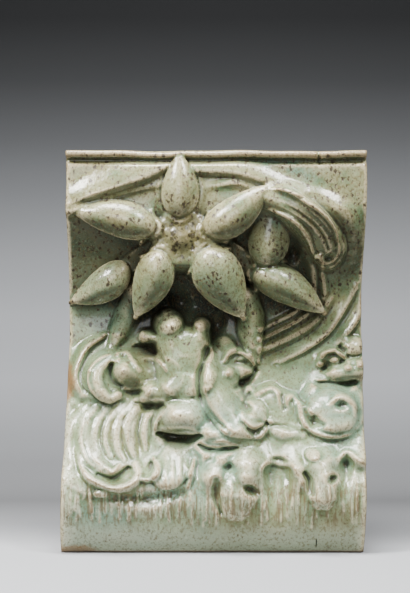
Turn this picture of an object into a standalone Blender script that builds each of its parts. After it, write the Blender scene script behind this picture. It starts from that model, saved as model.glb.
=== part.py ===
"""A frieze tile of glazed stoneware: a starfish lying over two more, above bladder-wrack and breaking waves.

The tile stands on its underside and faces -Y. It is one piece of fired clay with an open, hollow back. Its
face is a deep cove between a flat band with a rolled rim above and a swelling foot below.

The carving is drawn on a grid laid over the face, 300 squares across and 400 squares up from the base, with
heights in 124ths of the tile's depth, so that it grows and shrinks with the tile.
"""

import math

import bmesh
import bpy
import numpy as np

# Driving sizes, in metres.
TILE_WIDTH = 0.360
TILE_HEIGHT = 0.478
TILE_DEPTH = 0.124
FACE_WALL = 0.026
SIDE_WALL = 0.022
TOP_WALL = 0.022
BASE_WALL = 0.026
FIRING_LEAN = 0.005

# The drawing grid: squares across, squares up, and steps of depth.
ACROSS = 300
UP = 400
DEEP = 124
GRID_STEP = 2
SPARE_CLAY = 6

# How far a cut may go below the plain cove, in steps of depth: less than the wall of the face.
DEEPEST_CUT = 14

# Clay is modelled in voxels, as fine as a share of the width, and thinned to about this many triangles.
CLAY_VOXEL = TILE_WIDTH / 150
TRIANGLES = 9000

# Where along a starfish arm it is widest.
ARM_SHOULDER = 0.36

GLAZE_COLOUR = (0.31, 0.35, 0.24, 1.0)
GLAZE_ROUGHNESS = 0.3

# The face in section, from the base up: grid square, height of the clay in front of the back plane.
FACE_SECTION = (
    (0, 102), (16, 115), (36, 122), (54, 124), (74, 118), (94, 94), (110, 81), (130, 73), (165, 59),
    (200, 43), (228, 36), (258, 39), (292, 56), (318, 76), (336, 89), (352, 93), (400, 93),
)


def clear_scene():
    for thing in list(bpy.data.objects):
        bpy.data.objects.remove(thing, do_unlink=True)


def curve_through(points, pieces=7):
    """Points close together along a smooth curve through the given ones (Catmull-Rom)."""
    knots = np.array(points, float)
    ends = np.vstack([2 * knots[0] - knots[1], knots, 2 * knots[-1] - knots[-2]])
    share = np.linspace(0, 1, pieces, endpoint=False)[:, None]
    line = []
    for a, b, c, d in zip(ends, ends[1:], ends[2:], ends[3:]):
        bend = (2 * a - 5 * b + 4 * c - d) * share**2 + (3 * b - a - 3 * c + d) * share**3
        line.append(0.5 * (2 * b + (c - a) * share + bend))
    return np.vstack(line + [knots[-1:]])


def soft(q):
    """A low swelling that dies away at its edge, q running from 0 in the middle to 1 at the edge."""
    return np.clip(1 - q * q, 0, 1) ** 2


def full(q):
    """A round swelling with upright sides."""
    return np.sqrt(np.clip(1 - q * q, 0, 1))


def steep(q):
    """A flat middle with steep sides, as a tool leaves that is pushed into the clay."""
    return np.clip(1 - q**4, 0, 1) ** 1.5


def cliff(q):
    """A level top that drops away all at once near its edge."""
    return np.clip(1 - q**12, 0, 1)


def merged(low, high, blend):
    """The higher of two surfaces, with a fillet where they cross."""
    near = np.clip(blend - np.abs(low - high), 0, None)
    return np.maximum(low, high) + near * near / (4 * blend)


class Relief:
    """The height of the clay in front of the back plane, over the drawing grid."""

    def __init__(self, step):
        self.across = np.arange(-SPARE_CLAY, ACROSS + SPARE_CLAY + step / 2, step)
        self.up = np.arange(-SPARE_CLAY, UP + SPARE_CLAY + step / 2, step)
        self.u, self.v = np.meshgrid(self.across, self.up)
        section = curve_through(FACE_SECTION, 12)
        self.height = np.interp(self.v, section[:, 0], section[:, 1])
        self.deepest = self.height - DEEPEST_CUT

    def keep_wall(self):
        """Fills the deepest cuts, so that enough wall is left in front of the hollow back."""
        self.height = merged(self.height, self.deepest, 4)

    def ground(self):
        return self.height.copy()

    def window(self, low, high):
        cols = slice(*np.searchsorted(self.across, [low[0], high[0]]))
        rows = slice(*np.searchsorted(self.up, [low[1], high[1]]))
        return rows, cols

    def raise_by(self, window, rise, beyond, onto, blend):
        """Adds a rise to the clay, or builds it on an earlier ground and merges it with what is there.

        beyond is how far each point lies past the edge of the rise, which keeps the fillet at that edge.
        """
        if onto is None:
            self.height[window] += rise
        else:
            built = onto[window] + rise - 1.5 * np.clip(beyond, 0, None)
            self.height[window] = merged(self.height[window], built, blend)

    def stroke(self, path, wide, tall, section=soft, lean=0.0, onto=None, blend=4.0):
        """Raises the clay along a path, or sinks it where tall is negative.

        wide is the half width and tall the height, each one number or several spread evenly from start to
        end. A stroke with lean is wider on the left of its path and narrower on the right.
        """
        line = curve_through(path)
        wide = np.atleast_1d(wide)
        tall = np.atleast_1d(tall)
        reach = wide.max() * (1 + abs(lean)) + (blend if onto is not None else 1)
        window = self.window(line.min(0) - reach, line.max(0) + reach)
        u, v = self.u[window], self.v[window]
        nearest = np.full(u.shape, np.inf)
        share = np.zeros(u.shape)
        side = np.zeros(u.shape)
        lengths = np.hypot(*np.diff(line, axis=0).T)
        gone = np.concatenate([[0], np.cumsum(lengths)])
        for i, length in enumerate(lengths):
            du, dv = (line[i + 1] - line[i]) / length
            pu, pv = u - line[i, 0], v - line[i, 1]
            along = np.clip(pu * du + pv * dv, 0, length)
            off = np.hypot(pu - along * du, pv - along * dv)
            closer = off < nearest
            nearest[closer] = off[closer]
            share[closer] = (gone[i] + along[closer]) / gone[-1]
            side[closer] = np.sign(du * pv - dv * pu)[closer]
        half_width = np.interp(share, np.linspace(0, 1, wide.size), wide) * (1 + lean * side)
        height = np.interp(share, np.linspace(0, 1, tall.size), tall)
        rise = height * section(nearest / half_width)
        self.raise_by(window, rise, nearest - half_width, onto, blend)

    def oval(self, centre, radii, tall, turn=0, section=full, onto=None, blend=4.0):
        """Raises, or sinks, an oval place. turn is in degrees, against the clock."""
        angle = math.radians(turn)
        reach = max(radii) + (blend if onto is not None else 1)
        window = self.window(np.subtract(centre, reach), np.add(centre, reach))
        pu, pv = self.u[window] - centre[0], self.v[window] - centre[1]
        q = np.hypot(
            (pu * math.cos(angle) + pv * math.sin(angle)) / radii[0],
            (pv * math.cos(angle) - pu * math.sin(angle)) / radii[1],
        )
        self.raise_by(window, tall * section(q), (q - 1) * min(radii), onto, blend)


def rim_and_band(relief):
    """The rolled rim along the top edge, with the groove under it."""
    relief.stroke([(-25, 397), (147, 397), (323, 397)], 4.4, 5, section=full)
    relief.stroke([(-25, 391), (147, 391), (323, 391)], 4.5, -5, lean=-0.4)
    relief.stroke([(251, 402), (252, 394), (253, 385)], 2.2, [-3, -5, 0])


def upper_streams(relief):
    """Water running over the band: long, low ridges, gentle above and steep below."""
    relief.stroke([(-3, 345), (20, 354), (39, 361), (61, 368), (79, 374), (100, 384)],
                  [12, 15, 17, 17, 14], [4, 9, 10, 10, 7], lean=0.55)
    relief.stroke([(-1, 334), (17, 343), (33, 350), (53, 356), (71, 361), (92, 366)], [7, 9, 8],
                  [3, 5, 4, 2], lean=0.45)
    relief.stroke([(-7, 337), (7, 338), (27, 337)], [9, 10, 8], [5, 7, 4], lean=0.4)
    relief.stroke([(128, 380), (164, 378), (195, 370), (214, 363), (230, 355)], [12, 14, 10], [5, 8, 6],
                  lean=0.5)
    relief.stroke([(140, 364), (168, 367), (195, 360)], 6, [1, 4, 3])


def hooked_tongue(relief):
    """A tongue of water in three strands, which curls under itself at its lower end, beside a second sheet."""
    relief.stroke([(221, 364), (241, 357), (259, 348), (274, 337), (284, 323), (288, 308), (288, 293),
                   (282, 281)], [9, 14, 17, 17, 15, 10], [2, 5, 7, 9, 9, 7, 2])
    ground = relief.ground()
    relief.stroke([(196, 354), (217, 347), (237, 333), (252, 317), (260, 301)],
                  [10, 15, 19, 19, 15], [14, 21, 26, 29, 26], section=full, onto=ground, blend=5)
    relief.stroke([(199, 363), (219, 360), (240, 346), (257, 333), (270, 318),
                   (276, 304), (274, 292), (266, 285), (257, 287), (253, 294)],
                  [5, 7.5, 7.5, 7.5, 7.5, 7, 6], [4, 8, 10, 10, 10, 13, 16, 15, 10])
    relief.stroke([(220, 354), (237, 344), (252, 334), (265, 320), (270, 306)], 2.2,
                  [0, -3, -5, -6, -3])
    relief.stroke([(212, 347), (228, 339), (245, 327), (256, 315), (262, 302)], 2.2,
                  [0, -3, -5, -5, -3])
    relief.oval((263, 294), (7, 5), -8, turn=20, section=soft)
    relief.stroke([(196, 342), (218, 333), (235, 319), (245, 301), (250, 279),
                   (253, 251)], [5, 8, 9, 8, 5], [4, 9, 11, 10, 7, 4], lean=-0.4)
    relief.stroke([(257, 285), (261, 267), (263, 248)], 5, [6, 5, 2])


def lower_right_streams(relief):
    """Narrow runs of water that fall away under the right-hand arms."""
    relief.stroke([(269, 252), (255, 231), (233, 216), (198, 200)], [5, 8, 8], [3, 7, 8])
    relief.stroke([(259, 251), (243, 235), (224, 224), (196, 210)], 5.5, [2, 6, 7])
    relief.stroke([(248, 253), (230, 237), (196, 220)], 5, [2, 5, 5])
    relief.stroke([(294, 263), (282, 241), (265, 217), (241, 200), (216, 188)], [7, 9, 9], [4, 9, 8, 3],
                  lean=-0.4)
    relief.stroke([(305, 251), (294, 228), (277, 208), (257, 192)], 8, [5, 9, 8, 3], lean=-0.4)


def central_stream(relief):
    """The smooth sheet that pours down from the wrack and swings away to the right edge."""
    ground = relief.ground()
    relief.stroke([(118, 210), (120, 182), (130, 152), (151, 126), (186, 111), (235, 105), (307, 110)],
                  [32, 37, 37, 30, 25, 24], [16, 18, 18, 15, 11, 8], section=steep, onto=ground, blend=8)


def bladder_wrack(relief):
    """Two round bladders on thick stalks, and a bead beside them."""
    ground = relief.ground()
    relief.stroke([(101, 225), (104, 212), (110, 198), (117, 178)], [13, 18, 24, 26],
                  [35, 30, 24, 14], section=full, onto=ground, blend=8)
    relief.oval((102, 226), (17, 17), 41, onto=ground)
    relief.oval((93, 237), (6, 5), -4, turn=-40, section=soft)
    relief.stroke([(136, 223), (134, 211), (130, 196)], [9, 13, 18], [29, 27, 20], section=full,
                  onto=ground, blend=8)
    relief.oval((136, 224), (10, 10), 32, onto=ground)
    relief.stroke([(121, 211), (124, 198), (127, 180)], [16, 24, 26], [25, 24, 14], section=full,
                  onto=ground, blend=10)
    relief.stroke([(78, 213), (88, 213), (100, 208)], [7, 8, 9], [26, 25, 22], section=full,
                  onto=ground, blend=5)


def upper_curl(relief):
    """The rolled wave at the left: rings that wind round a dark eye."""
    ground = relief.ground()
    relief.oval((42, 174), (46, 42), 14, section=soft, onto=ground, blend=5)
    relief.stroke([(36, 213), (20, 202), (12, 188), (9, 172), (15, 158), (26, 152)], [4, 8, 8, 6],
                  [5, 9, 9, 8, 3], lean=-0.4)
    relief.stroke([(51, 197), (37, 194), (25, 185), (20, 172), (25, 159), (35, 149)], [4, 6, 6, 4],
                  [3, 5, 6, 5, 2], lean=-0.3)
    relief.stroke([(51, 192), (38, 189), (30, 179), (30, 167), (36, 157), (44, 152),
                   (52, 154)], [4, 7, 9, 9, 7, 5], [7, 11, 14, 15, 13, 8], section=full)
    relief.stroke([(45, 185), (44, 175), (48, 167), (55, 163)], [4, 6, 6, 4], -8)


def cascade(relief):
    """Foam along the left bank of the stream: lobes with overhanging lips, hollowed out underneath."""
    ground = relief.ground()
    lobes = (
        ([(98, 173), (80, 176), (60, 181)], [20, 20, 19], [0, 14, 26]),
        ([(117, 156), (102, 157), (85, 159)], [20, 20, 17], [0, 13, 22]),
        ([(145, 140), (127, 137), (109, 135)], [24, 25, 22], [2, 18, 27]),
        ([(179, 120), (161, 118), (144, 119)], [18, 15, 12], [7, 13, 15]),
    )
    for path, wide, tall in lobes:
        relief.stroke(path, wide, tall, onto=ground, blend=6)
    relief.stroke([(50, 196), (60, 197), (68, 189), (74, 180)], [3, 5, 4], [6, 9, 3])
    relief.stroke([(69, 203), (80, 201), (92, 196), (99, 188)], [5, 8, 7, 3], [-5, -12, -10, -3],
                  lean=-0.2)
    relief.stroke([(73, 190), (84, 192), (94, 189), (100, 180)], [4, 5, 4], [3, 6, 3])
    caves = (
        ([(55, 160), (65, 157), (76, 159)], [3, 6, 4], [-3, -7, -4]),
        ([(72, 147), (85, 143), (98, 145)], [4, 7, 4], [-4, -10, -5]),
        ([(95, 117), (110, 112), (126, 113), (135, 116)], [4, 9, 8, 4], [-10, -20, -19, -10]),
        ([(135, 107), (146, 102), (159, 103), (172, 105)], [3, 6, 5, 3], [-6, -13, -12, -6]),
    )
    for path, wide, tall in caves:
        relief.stroke(path, wide, tall, lean=-0.35)
    lips = (
        [(71, 160), (75, 167), (82, 168)],
        [(75, 152), (87, 150), (98, 150), (103, 144)],
        [(90, 127), (98, 122), (114, 124), (127, 123), (136, 117)],
        [(136, 113), (147, 110), (159, 111), (172, 107)],
    )
    for path in lips:
        relief.stroke(path, [2, 3.4, 2], [1, 3, 1])


def lower_curl(relief):
    """The large wave at the lower left: bands that fan out and roll under into a lip."""
    ground = relief.ground()
    relief.oval((44, 109), (56, 52), 14, section=soft, onto=ground, blend=5)
    relief.stroke([(22, 144), (9, 128), (5, 109), (9, 90)], [7, 10, 9], [3, 6, 3])
    bands = (
        ([(31, 142), (21, 129), (19, 111), (25, 95), (39, 86)], [6, 10, 11, 10, 6], 8),
        ([(42, 142), (32, 126), (30, 109), (36, 94), (47, 86)], [5, 8, 8, 8, 5], 5),
        ([(53, 144), (44, 128), (42, 111), (47, 96)], [4, 6, 6, 4], 4),
        ([(69, 148), (58, 135), (53, 118), (55, 103), (61, 93)], [6, 10, 10, 9, 5], 6),
        ([(77, 148), (69, 136), (65, 120), (67, 106), (71, 96)], [6, 9, 10, 9, 5], 8),
        ([(90, 143), (82, 132), (80, 117), (82, 102)], [4, 6, 7, 4], 7),
        ([(100, 140), (92, 129), (90, 116)], [3, 4, 3], 4),
    )
    for path, wide, tall in bands:
        relief.stroke(path, wide, [tall * 0.4, tall, tall, tall * 0.9, tall * 0.4])
    creases = (
        [(23, 136), (20, 114), (26, 96), (36, 87)],
        [(70, 146), (59, 130), (58, 110)],
        [(76, 141), (67, 126), (67, 106)],
    )
    for path in creases:
        relief.stroke(path, 1.8, [-0.5, -2, -2, -1])
    relief.stroke([(13, 101), (19, 88), (29, 76), (45, 69), (59, 67), (71, 72), (76, 80),
                   (73, 88)], [4, 6, 7, 7.5, 7.5, 6], [2, 6, 9, 11, 12, 10, 5])
    relief.stroke([(19, 90), (30, 80), (46, 73), (59, 72), (69, 76)], 1.8, [-1, -3, -3, -1])
    relief.stroke([(44, 85), (51, 82), (57, 88)], [3, 5, 3], [3, 6, 3])
    relief.stroke([(36, 79), (51, 75), (65, 84)], [4, 7, 5], [-5, -11, -8], lean=-0.2)
    relief.stroke([(132, 101), (118, 94), (105, 81)], [12, 19, 17], [5, 13, 14], section=full, onto=ground)
    relief.stroke([(81, 75), (88, 76), (95, 84), (90, 93)], [4, 6, 6, 3], [6, 9, 9, 5])
    relief.oval((87, 86), (5, 7), -7, turn=-20, section=soft)
    for u in range(98, 126, 7):
        relief.stroke([(u, 94), (u + 1, 84), (u + 1, 72)], 2.6, [-1, -2, -1])
    relief.stroke([(130, 92), (128, 80), (125, 67)], [3, 5, 3], [4, 9, 3])
    relief.oval((40, 61), (8, 4), 5)
    relief.stroke([(51, 57), (83, 55), (119, 61)], [7, 11, 7], [-3, -9, -3])


def middle_crest(relief):
    """The crest in the middle, which rises to a hook and trails off to the right in scallops."""
    ground = relief.ground()
    relief.stroke([(158, 200), (155, 176), (157, 154), (171, 132), (193, 122)], [14, 19, 21, 18, 10],
                  [18, 24, 22, 17, 9], section=full, onto=ground, blend=5)
    relief.stroke([(189, 142), (205, 145), (222, 141), (237, 133)], [13, 19, 16, 12], [14, 17, 15, 9],
                  section=full, onto=ground, blend=5)
    base = relief.ground()
    relief.oval((175, 184), (16, 15), 17, onto=ground, blend=5)
    relief.stroke([(138, 190), (134, 174), (136, 156), (147, 139), (165, 120)], [5, 6, 6, 4],
                  [-5, -9, -7, -5, -2])
    relief.stroke([(138, 164), (143, 148), (154, 134), (169, 120)], [3, 4, 3], [2, 4, 4, 1])
    relief.stroke([(159, 189), (165, 197), (175, 199), (184, 194), (191, 185)], [4, 6, 6, 5, 3],
                  [5, 12, 12, 9, 4])
    relief.stroke([(171, 187), (180, 186), (189, 180)], [4, 6, 5], [-4, -8, -6])
    relief.oval((164, 178), (8, 8), 7, section=soft)
    relief.stroke([(192, 178), (182, 168), (171, 162)], [4, 7, 4], [-4, -11, -6], lean=-0.2)
    relief.stroke([(168, 161), (176, 153), (181, 148)], 4, [1, 3, 1])
    relief.oval((141, 197), (7, 10), -14, turn=-10, section=soft)
    relief.oval((189, 137), (14, 15), 7, onto=base, blend=3)
    relief.oval((182, 143), (8, 6), -9, turn=-20, section=soft)
    relief.stroke([(177, 130), (189, 120), (202, 127)], [3, 6, 3], [-3, -8, -3], lean=-0.3)
    relief.stroke([(178, 151), (184, 160), (191, 157), (199, 161), (207, 163), (213, 158), (216, 148)],
                  [4, 6, 6, 4], [3, 6, 6, 7, 7, 6, 2])
    relief.stroke([(220, 145), (224, 152), (230, 154), (234, 144)], [4, 5, 4], [2, 5, 5, 2])
    relief.stroke([(217, 154), (220, 142)], 3.5, [-6, -4])
    relief.stroke([(201, 126), (217, 119), (237, 118)], [9, 12, 9], [4, 8, 4])


def right_wave(relief):
    """The curled wave at the right edge, under two tufts of foam."""
    ground = relief.ground()
    relief.oval((268, 142), (36, 30), 15, onto=ground, blend=6)
    relief.stroke([(309, 184), (289, 179), (271, 177)], [19, 17, 14], [15, 17, 15], onto=ground)
    relief.oval((270, 194), (14, 8), 12, onto=ground)
    relief.oval((291, 203), (13, 11), 14, onto=ground)
    base = relief.ground()
    relief.stroke([(256, 191), (262, 198), (271, 199), (279, 194), (285, 189), (293, 190)], 4,
                  [3, 8, 8, 8, 7, 3])
    for ruffle in ((257, 186), (271, 188), (284, 183), (296, 186)):
        relief.oval(ruffle, (7, 6), 7, section=soft)
    relief.oval((263, 181), (9, 5), -8, turn=25, section=soft)
    relief.oval((281, 200), (5, 4), -6, section=soft)
    relief.stroke([(252, 167), (264, 165), (278, 164), (292, 168)], [4, 7, 7, 4], [-6, -16, -16, -7],
                  lean=-0.3)
    relief.stroke([(262, 173), (252, 168), (247, 157), (245, 146)], [7, 11, 7], [2, 4, 4, 1], lean=-0.3)
    relief.stroke([(235, 145), (236, 133), (242, 123), (253, 117), (269, 114), (293, 117)], 4,
                  [1, 3, 4, 4, 3, 1])
    relief.oval((268, 140), (27, 21), 12, turn=-15, onto=base, blend=6)
    relief.stroke([(241, 140), (246, 132), (257, 126)], [4, 8, 5], [-4, -9, -5])
    relief.stroke([(264, 147), (273, 154), (282, 153), (289, 146), (290, 136)], [4, 6, 6, 4],
                  [2, 5, 6, 5, 2])
    relief.oval((276, 145), (8, 5), -6, section=soft)


def lower_foam(relief):
    """The ragged edge of the foam, which hangs over the foot in lobes with pockets between them."""
    ground = relief.ground()
    lobes = (
        ([(162, 105), (152, 92), (149, 80)], [18, 24, 18], [5, 14, 17], soft),
        ([(182, 105), (182, 92), (182, 80)], [20, 24, 20], [5, 16, 19], soft),
        ([(175, 71), (175, 58), (173, 48)], [17, 19, 15], [9, 12, 9], full),
        ([(229, 99), (233, 86), (237, 73)], [10, 13, 9], [3, 10, 9], soft),
        ([(255, 105), (256, 92), (258, 80)], [20, 25, 19], [5, 17, 18], soft),
        ([(258, 72), (257, 58)], [13, 14], [14, 15], full),
        ([(291, 107), (295, 94)], [16, 15], [6, 14], soft),
    )
    for path, wide, tall, section in lobes:
        relief.stroke(path, wide, tall, section=section, onto=ground, blend=6)
    relief.stroke([(213, 81), (213, 60), (213, 36)], [16, 16, 12], [-11, -6, -1], section=steep)
    relief.stroke([(281, 87), (279, 72), (278, 56)], [9, 8, 6], [-10, -5, -1])
    pits = (
        ((149, 94), (6, 5), 20, -5),
        ((164, 86), (8, 6), 0, -6),
        ((266, 75), (7, 6), 0, -13),
        ((187, 64), (11, 7), -35, -13),
    )
    for centre, radii, turn, deep in pits:
        relief.oval(centre, radii, deep, turn=turn, section=soft)
    channels = (
        ([(152, 74), (152, 58), (158, 41)], [6, 6, 3], -6),
        ([(239, 80), (243, 73), (246, 62)], [4, 7, 4], -8),
        ([(246, 53), (257, 48), (268, 53)], [4, 6, 4], -3),
    )
    for path, wide, deep in channels:
        relief.stroke(path, wide, deep)
    lips = (
        [(196, 74), (198, 86), (207, 90), (216, 88), (227, 87), (231, 80)],
        [(270, 87), (275, 96), (282, 100), (290, 94), (300, 88)],
        [(137, 83), (142, 96), (154, 102), (166, 99)],
    )
    for path in lips:
        relief.stroke(path, 4.2, [1, 4, 4, 2])
    relief.oval((247, 98), (8, 6), 8)


def arm_girth(share):
    """The width of an arm from root to tip as a share of its widest: a blunt root and a drawn-out tip."""
    if share < ARM_SHOULDER:
        return math.sqrt(max(1 - (1 - share / ARM_SHOULDER) ** 2, 0))
    return max(1 - ((share - ARM_SHOULDER) / (1 - ARM_SHOULDER)) ** 1.8, 0) ** 0.9


def arm_point(arm, share, side=0.0):
    """A point of an arm: so far along its bowed middle line, and so far to the left of it."""
    root = np.array(arm["root"], float)
    axis = np.subtract(arm["tip"], root)
    across = np.array([-axis[1], axis[0]]) / np.hypot(*axis)
    return root + axis * share + across * (side + 4 * arm["bow"] * share * (1 - share))


def arm_outline(arm, reach, beyond):
    """A line round the root of an arm, at a distance from it and as far along it as reach."""
    shares = (reach, reach * 0.7, reach * 0.4, 0.08)
    sides = [(share, arm_girth(share) * arm["wide"] + beyond) for share in shares]
    behind = arm_point(arm, -beyond / math.dist(arm["root"], arm["tip"]))
    left = [arm_point(arm, share, side) for share, side in sides]
    right = [arm_point(arm, share, -side) for share, side in reversed(sides)]
    return [*left, behind, *right]


def starfish_ground(relief):
    """The clay between the starfish and the cove, well inside the outline of the arms, and deep hollows."""
    floor = np.zeros_like(relief.height)
    relief.oval((116, 312), (37, 37), DEEP - 29, section=cliff, onto=floor, blend=8)
    relief.oval((189, 287), (20, 18), DEEP - 56, section=cliff, onto=floor, blend=8)
    relief.stroke([(100, 307), (78, 296), (59, 285)], [18, 15, 11],
                  [DEEP - 34, DEEP - 50, DEEP - 66], section=cliff, onto=floor, blend=8)
    relief.stroke([(139, 311), (162, 301), (182, 291)], [18, 14, 11],
                  [DEEP - 34, DEEP - 46, DEEP - 58], section=cliff, onto=floor, blend=8)
    for arm in ARMS:
        tops = [DEEP - deep - arm["bed"] for deep in np.linspace(*arm["deep"], 3)]
        wides = [arm["wide"] * 0.6, arm["wide"] * 0.6, 3]
        line = [arm_point(arm, share) for share in (0, 0.5, 1)]
        relief.stroke(line, wides, tops, section=cliff, onto=floor, blend=8)
    for arm in ARMS:
        if arm["skin"]:
            reach = arm["skin"]
            level = DEEP - arm["deep"][0] - 1
            wides = [arm["wide"] * 0.8, arm["wide"] + 5, arm["wide"] * arm_girth(reach) + 2]
            line = [arm_point(arm, share) for share in (0.05, reach / 2, reach)]
            relief.stroke(line, wides, [level, level, level - 6], section=cliff, onto=floor, blend=4)
            relief.stroke(arm_outline(arm, reach, 3.5), [2, 3.5, 3.5, 3.5, 2], [0.5, 1.5, 2, 1.5, 0.5])
    relief.oval((116, 315), (20, 19), 7, section=soft)
    relief.oval((114, 251), (14, 22), -8, turn=25, section=soft)
    relief.oval((151, 224), (12, 20), -8, turn=-20, section=soft)
    relief.oval((229, 301), (9, 16), -12, section=soft)


# The arms of the three starfish: root and tip on the drawing grid, half width, how far the middle line bows to
# its left, depth of the middle of the arm behind the front of the tile at root and tip, half thickness, how far
# the clay bed lies under it, and how far along it a skin of clay folds round it.
ARMS = (
    {"root": (114, 333), "tip": (113, 399), "wide": 19, "bow": 0, "deep": (27, 28), "thick": 15,
     "bed": 2, "skin": 0.85},
    {"root": (90, 322), "tip": (7, 338), "wide": 19, "bow": -3, "deep": (28, 27), "thick": 17,
     "bed": 2, "skin": 0.2},
    {"root": (138, 317), "tip": (203, 366), "wide": 19, "bow": -4, "deep": (27, 22), "thick": 17,
     "bed": 2, "skin": 0.3},
    {"root": (96, 300), "tip": (69, 233), "wide": 20, "bow": 3, "deep": (29, 46), "thick": 20,
     "bed": 4, "skin": 0.25},
    {"root": (137, 301), "tip": (178, 232), "wide": 25, "bow": 0, "deep": (27, 44), "thick": 21,
     "bed": 4, "skin": 0.25},
    {"root": (62, 286), "tip": (2, 248), "wide": 18, "bow": 4, "deep": (60, 66), "thick": 18,
     "bed": 6, "skin": 0},
    {"root": (199, 283), "tip": (210, 360), "wide": 21, "bow": 0, "deep": (48, 46), "thick": 18,
     "bed": 6, "skin": 0.2},
    {"root": (188, 281), "tip": (261, 237), "wide": 19, "bow": 4, "deep": (54, 58), "thick": 20,
     "bed": 6, "skin": 0.2},
)


def tails(relief):
    """The thin lower ends of two arms, which lie on the cove."""
    ground = relief.ground()
    relief.stroke([(69, 257), (59, 237), (50, 216), (43, 200)], [13, 12, 10, 4],
                  [22, 17, 11, 3], section=full, onto=ground, blend=6)
    relief.stroke([(181, 253), (186, 234), (186, 216), (189, 202), (194, 187)],
                  [14, 15, 14, 10, 2], [32, 30, 26, 20, 8], section=full, onto=ground, blend=4)


def carve(step):
    """The whole face. Later strokes lie over earlier ones."""
    relief = Relief(step)
    rim_and_band(relief)
    upper_streams(relief)
    hooked_tongue(relief)
    lower_right_streams(relief)
    central_stream(relief)
    tails(relief)
    bladder_wrack(relief)
    upper_curl(relief)
    lower_curl(relief)
    cascade(relief)
    middle_crest(relief)
    right_wave(relief)
    lower_foam(relief)
    starfish_ground(relief)
    relief.keep_wall()
    return relief


def lean_at(up):
    """How far the tile leans to the right at a height in squares, most of it gained in the lower half."""
    share = min(max(up / UP, 0), 1)
    return FIRING_LEAN * (1 - (1 - share) ** 2.5)


def place(u, v, height):
    """A point of the drawing, in metres."""
    x = (u / ACROSS - 0.5) * TILE_WIDTH + lean_at(v)
    return x, TILE_DEPTH / 2 - height / DEEP * TILE_DEPTH, v / UP * TILE_HEIGHT


def add_slab(clay, relief):
    """The carved face drawn back into a closed slab, with spare clay on every side to be trimmed."""
    rows, cols = relief.height.shape
    face = bmesh.ops.create_grid(clay, x_segments=cols - 1, y_segments=rows - 1, size=1)["verts"]
    for vert in face:
        col = round((vert.co.x + 1) / 2 * (cols - 1))
        row = round((vert.co.y + 1) / 2 * (rows - 1))
        vert.co = place(relief.across[col], relief.up[row], relief.height[row, col])
    drawn = bmesh.ops.extrude_face_region(clay, geom=clay.faces[:])["geom"]
    for vert in drawn:
        if isinstance(vert, bmesh.types.BMVert):
            vert.co.y = TILE_DEPTH / 2 + SPARE_CLAY / DEEP * TILE_DEPTH


def crest(across):
    """The surface of an arm over its width: a blunt ridge, with across from -1 to 1."""
    return (1 - abs(across) ** 1.8) ** 0.65


def add_arm(clay, arm):
    """One arm of a starfish: a seed-shaped pod with a blunt root and a pointed tip."""
    ball = bmesh.ops.create_uvsphere(clay, u_segments=24, v_segments=16, radius=1)["verts"]
    for vert in ball:
        share = min(max((1 - vert.co.z) / 2, 0), 1)
        girth = arm_girth(share)
        angle = math.atan2(vert.co.y, vert.co.x)
        u, v = arm_point(arm, share, math.cos(angle) * girth * arm["wide"])
        deep = arm["deep"][0] * (1 - share) + arm["deep"][1] * share
        swell = math.copysign(crest(math.cos(angle)), math.sin(angle)) * girth * arm["thick"]
        vert.co = place(u, v, DEEP - deep + swell)


def new_object(name, mesh):
    made = bpy.data.objects.new(name, mesh)
    bpy.context.scene.collection.objects.link(made)
    return made


def fused(name, clay):
    """One closed skin round all the clay, without the skins of any air shut inside it."""
    bmesh.ops.recalc_face_normals(clay, faces=clay.faces[:])
    rough = new_object("rough_clay", bpy.data.meshes.new("rough_clay"))
    clay.to_mesh(rough.data)
    remesh = rough.modifiers.new("fuse", "REMESH")
    remesh.mode = "VOXEL"
    remesh.voxel_size = CLAY_VOXEL
    skin = bmesh.new()
    skin.from_object(rough, bpy.context.evaluated_depsgraph_get())
    bpy.data.objects.remove(rough)
    unseen = set(skin.verts)
    shells = []
    while unseen:
        shell = {unseen.pop()}
        edge = list(shell)
        while edge:
            near = {end for vert in edge for link in vert.link_edges for end in link.verts} & unseen
            unseen -= near
            shell |= near
            edge = list(near)
        shells.append(shell)
    shells.sort(key=len)
    for shell in shells[:-1]:
        bmesh.ops.delete(skin, geom=list(shell), context="VERTS")
    mesh = bpy.data.meshes.new(name)
    skin.to_mesh(mesh)
    skin.free()
    return mesh


def stacked_box(name, levels):
    """A closed shape from level rectangles, each given as its height, x from and to, y from and to."""
    shape = bmesh.new()
    rings = []
    for z, x_from, x_to, y_from, y_to in levels:
        corners = ((x_from, y_from), (x_to, y_from), (x_to, y_to), (x_from, y_to))
        rings.append([shape.verts.new((x, y, z)) for x, y in corners])
    for low, high in zip(rings, rings[1:]):
        for i in range(4):
            j = (i + 1) % 4
            shape.faces.new((low[i], low[j], high[j], high[i]))
    shape.faces.new(rings[0][::-1])
    shape.faces.new(rings[-1])
    mesh = bpy.data.meshes.new(name)
    shape.to_mesh(mesh)
    shape.free()
    return new_object(name, mesh)


def trimming_block():
    """The true outline of the tile: flat base, top and back, and sides that follow its lean."""
    front = -TILE_DEPTH
    back = TILE_DEPTH / 2
    levels = []
    for up in range(0, UP + 1, 50):
        shift = lean_at(up)
        levels.append((up / UP * TILE_HEIGHT, shift - TILE_WIDTH / 2, shift + TILE_WIDTH / 2, front, back))
    return stacked_box("trimming_block", levels)


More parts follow.
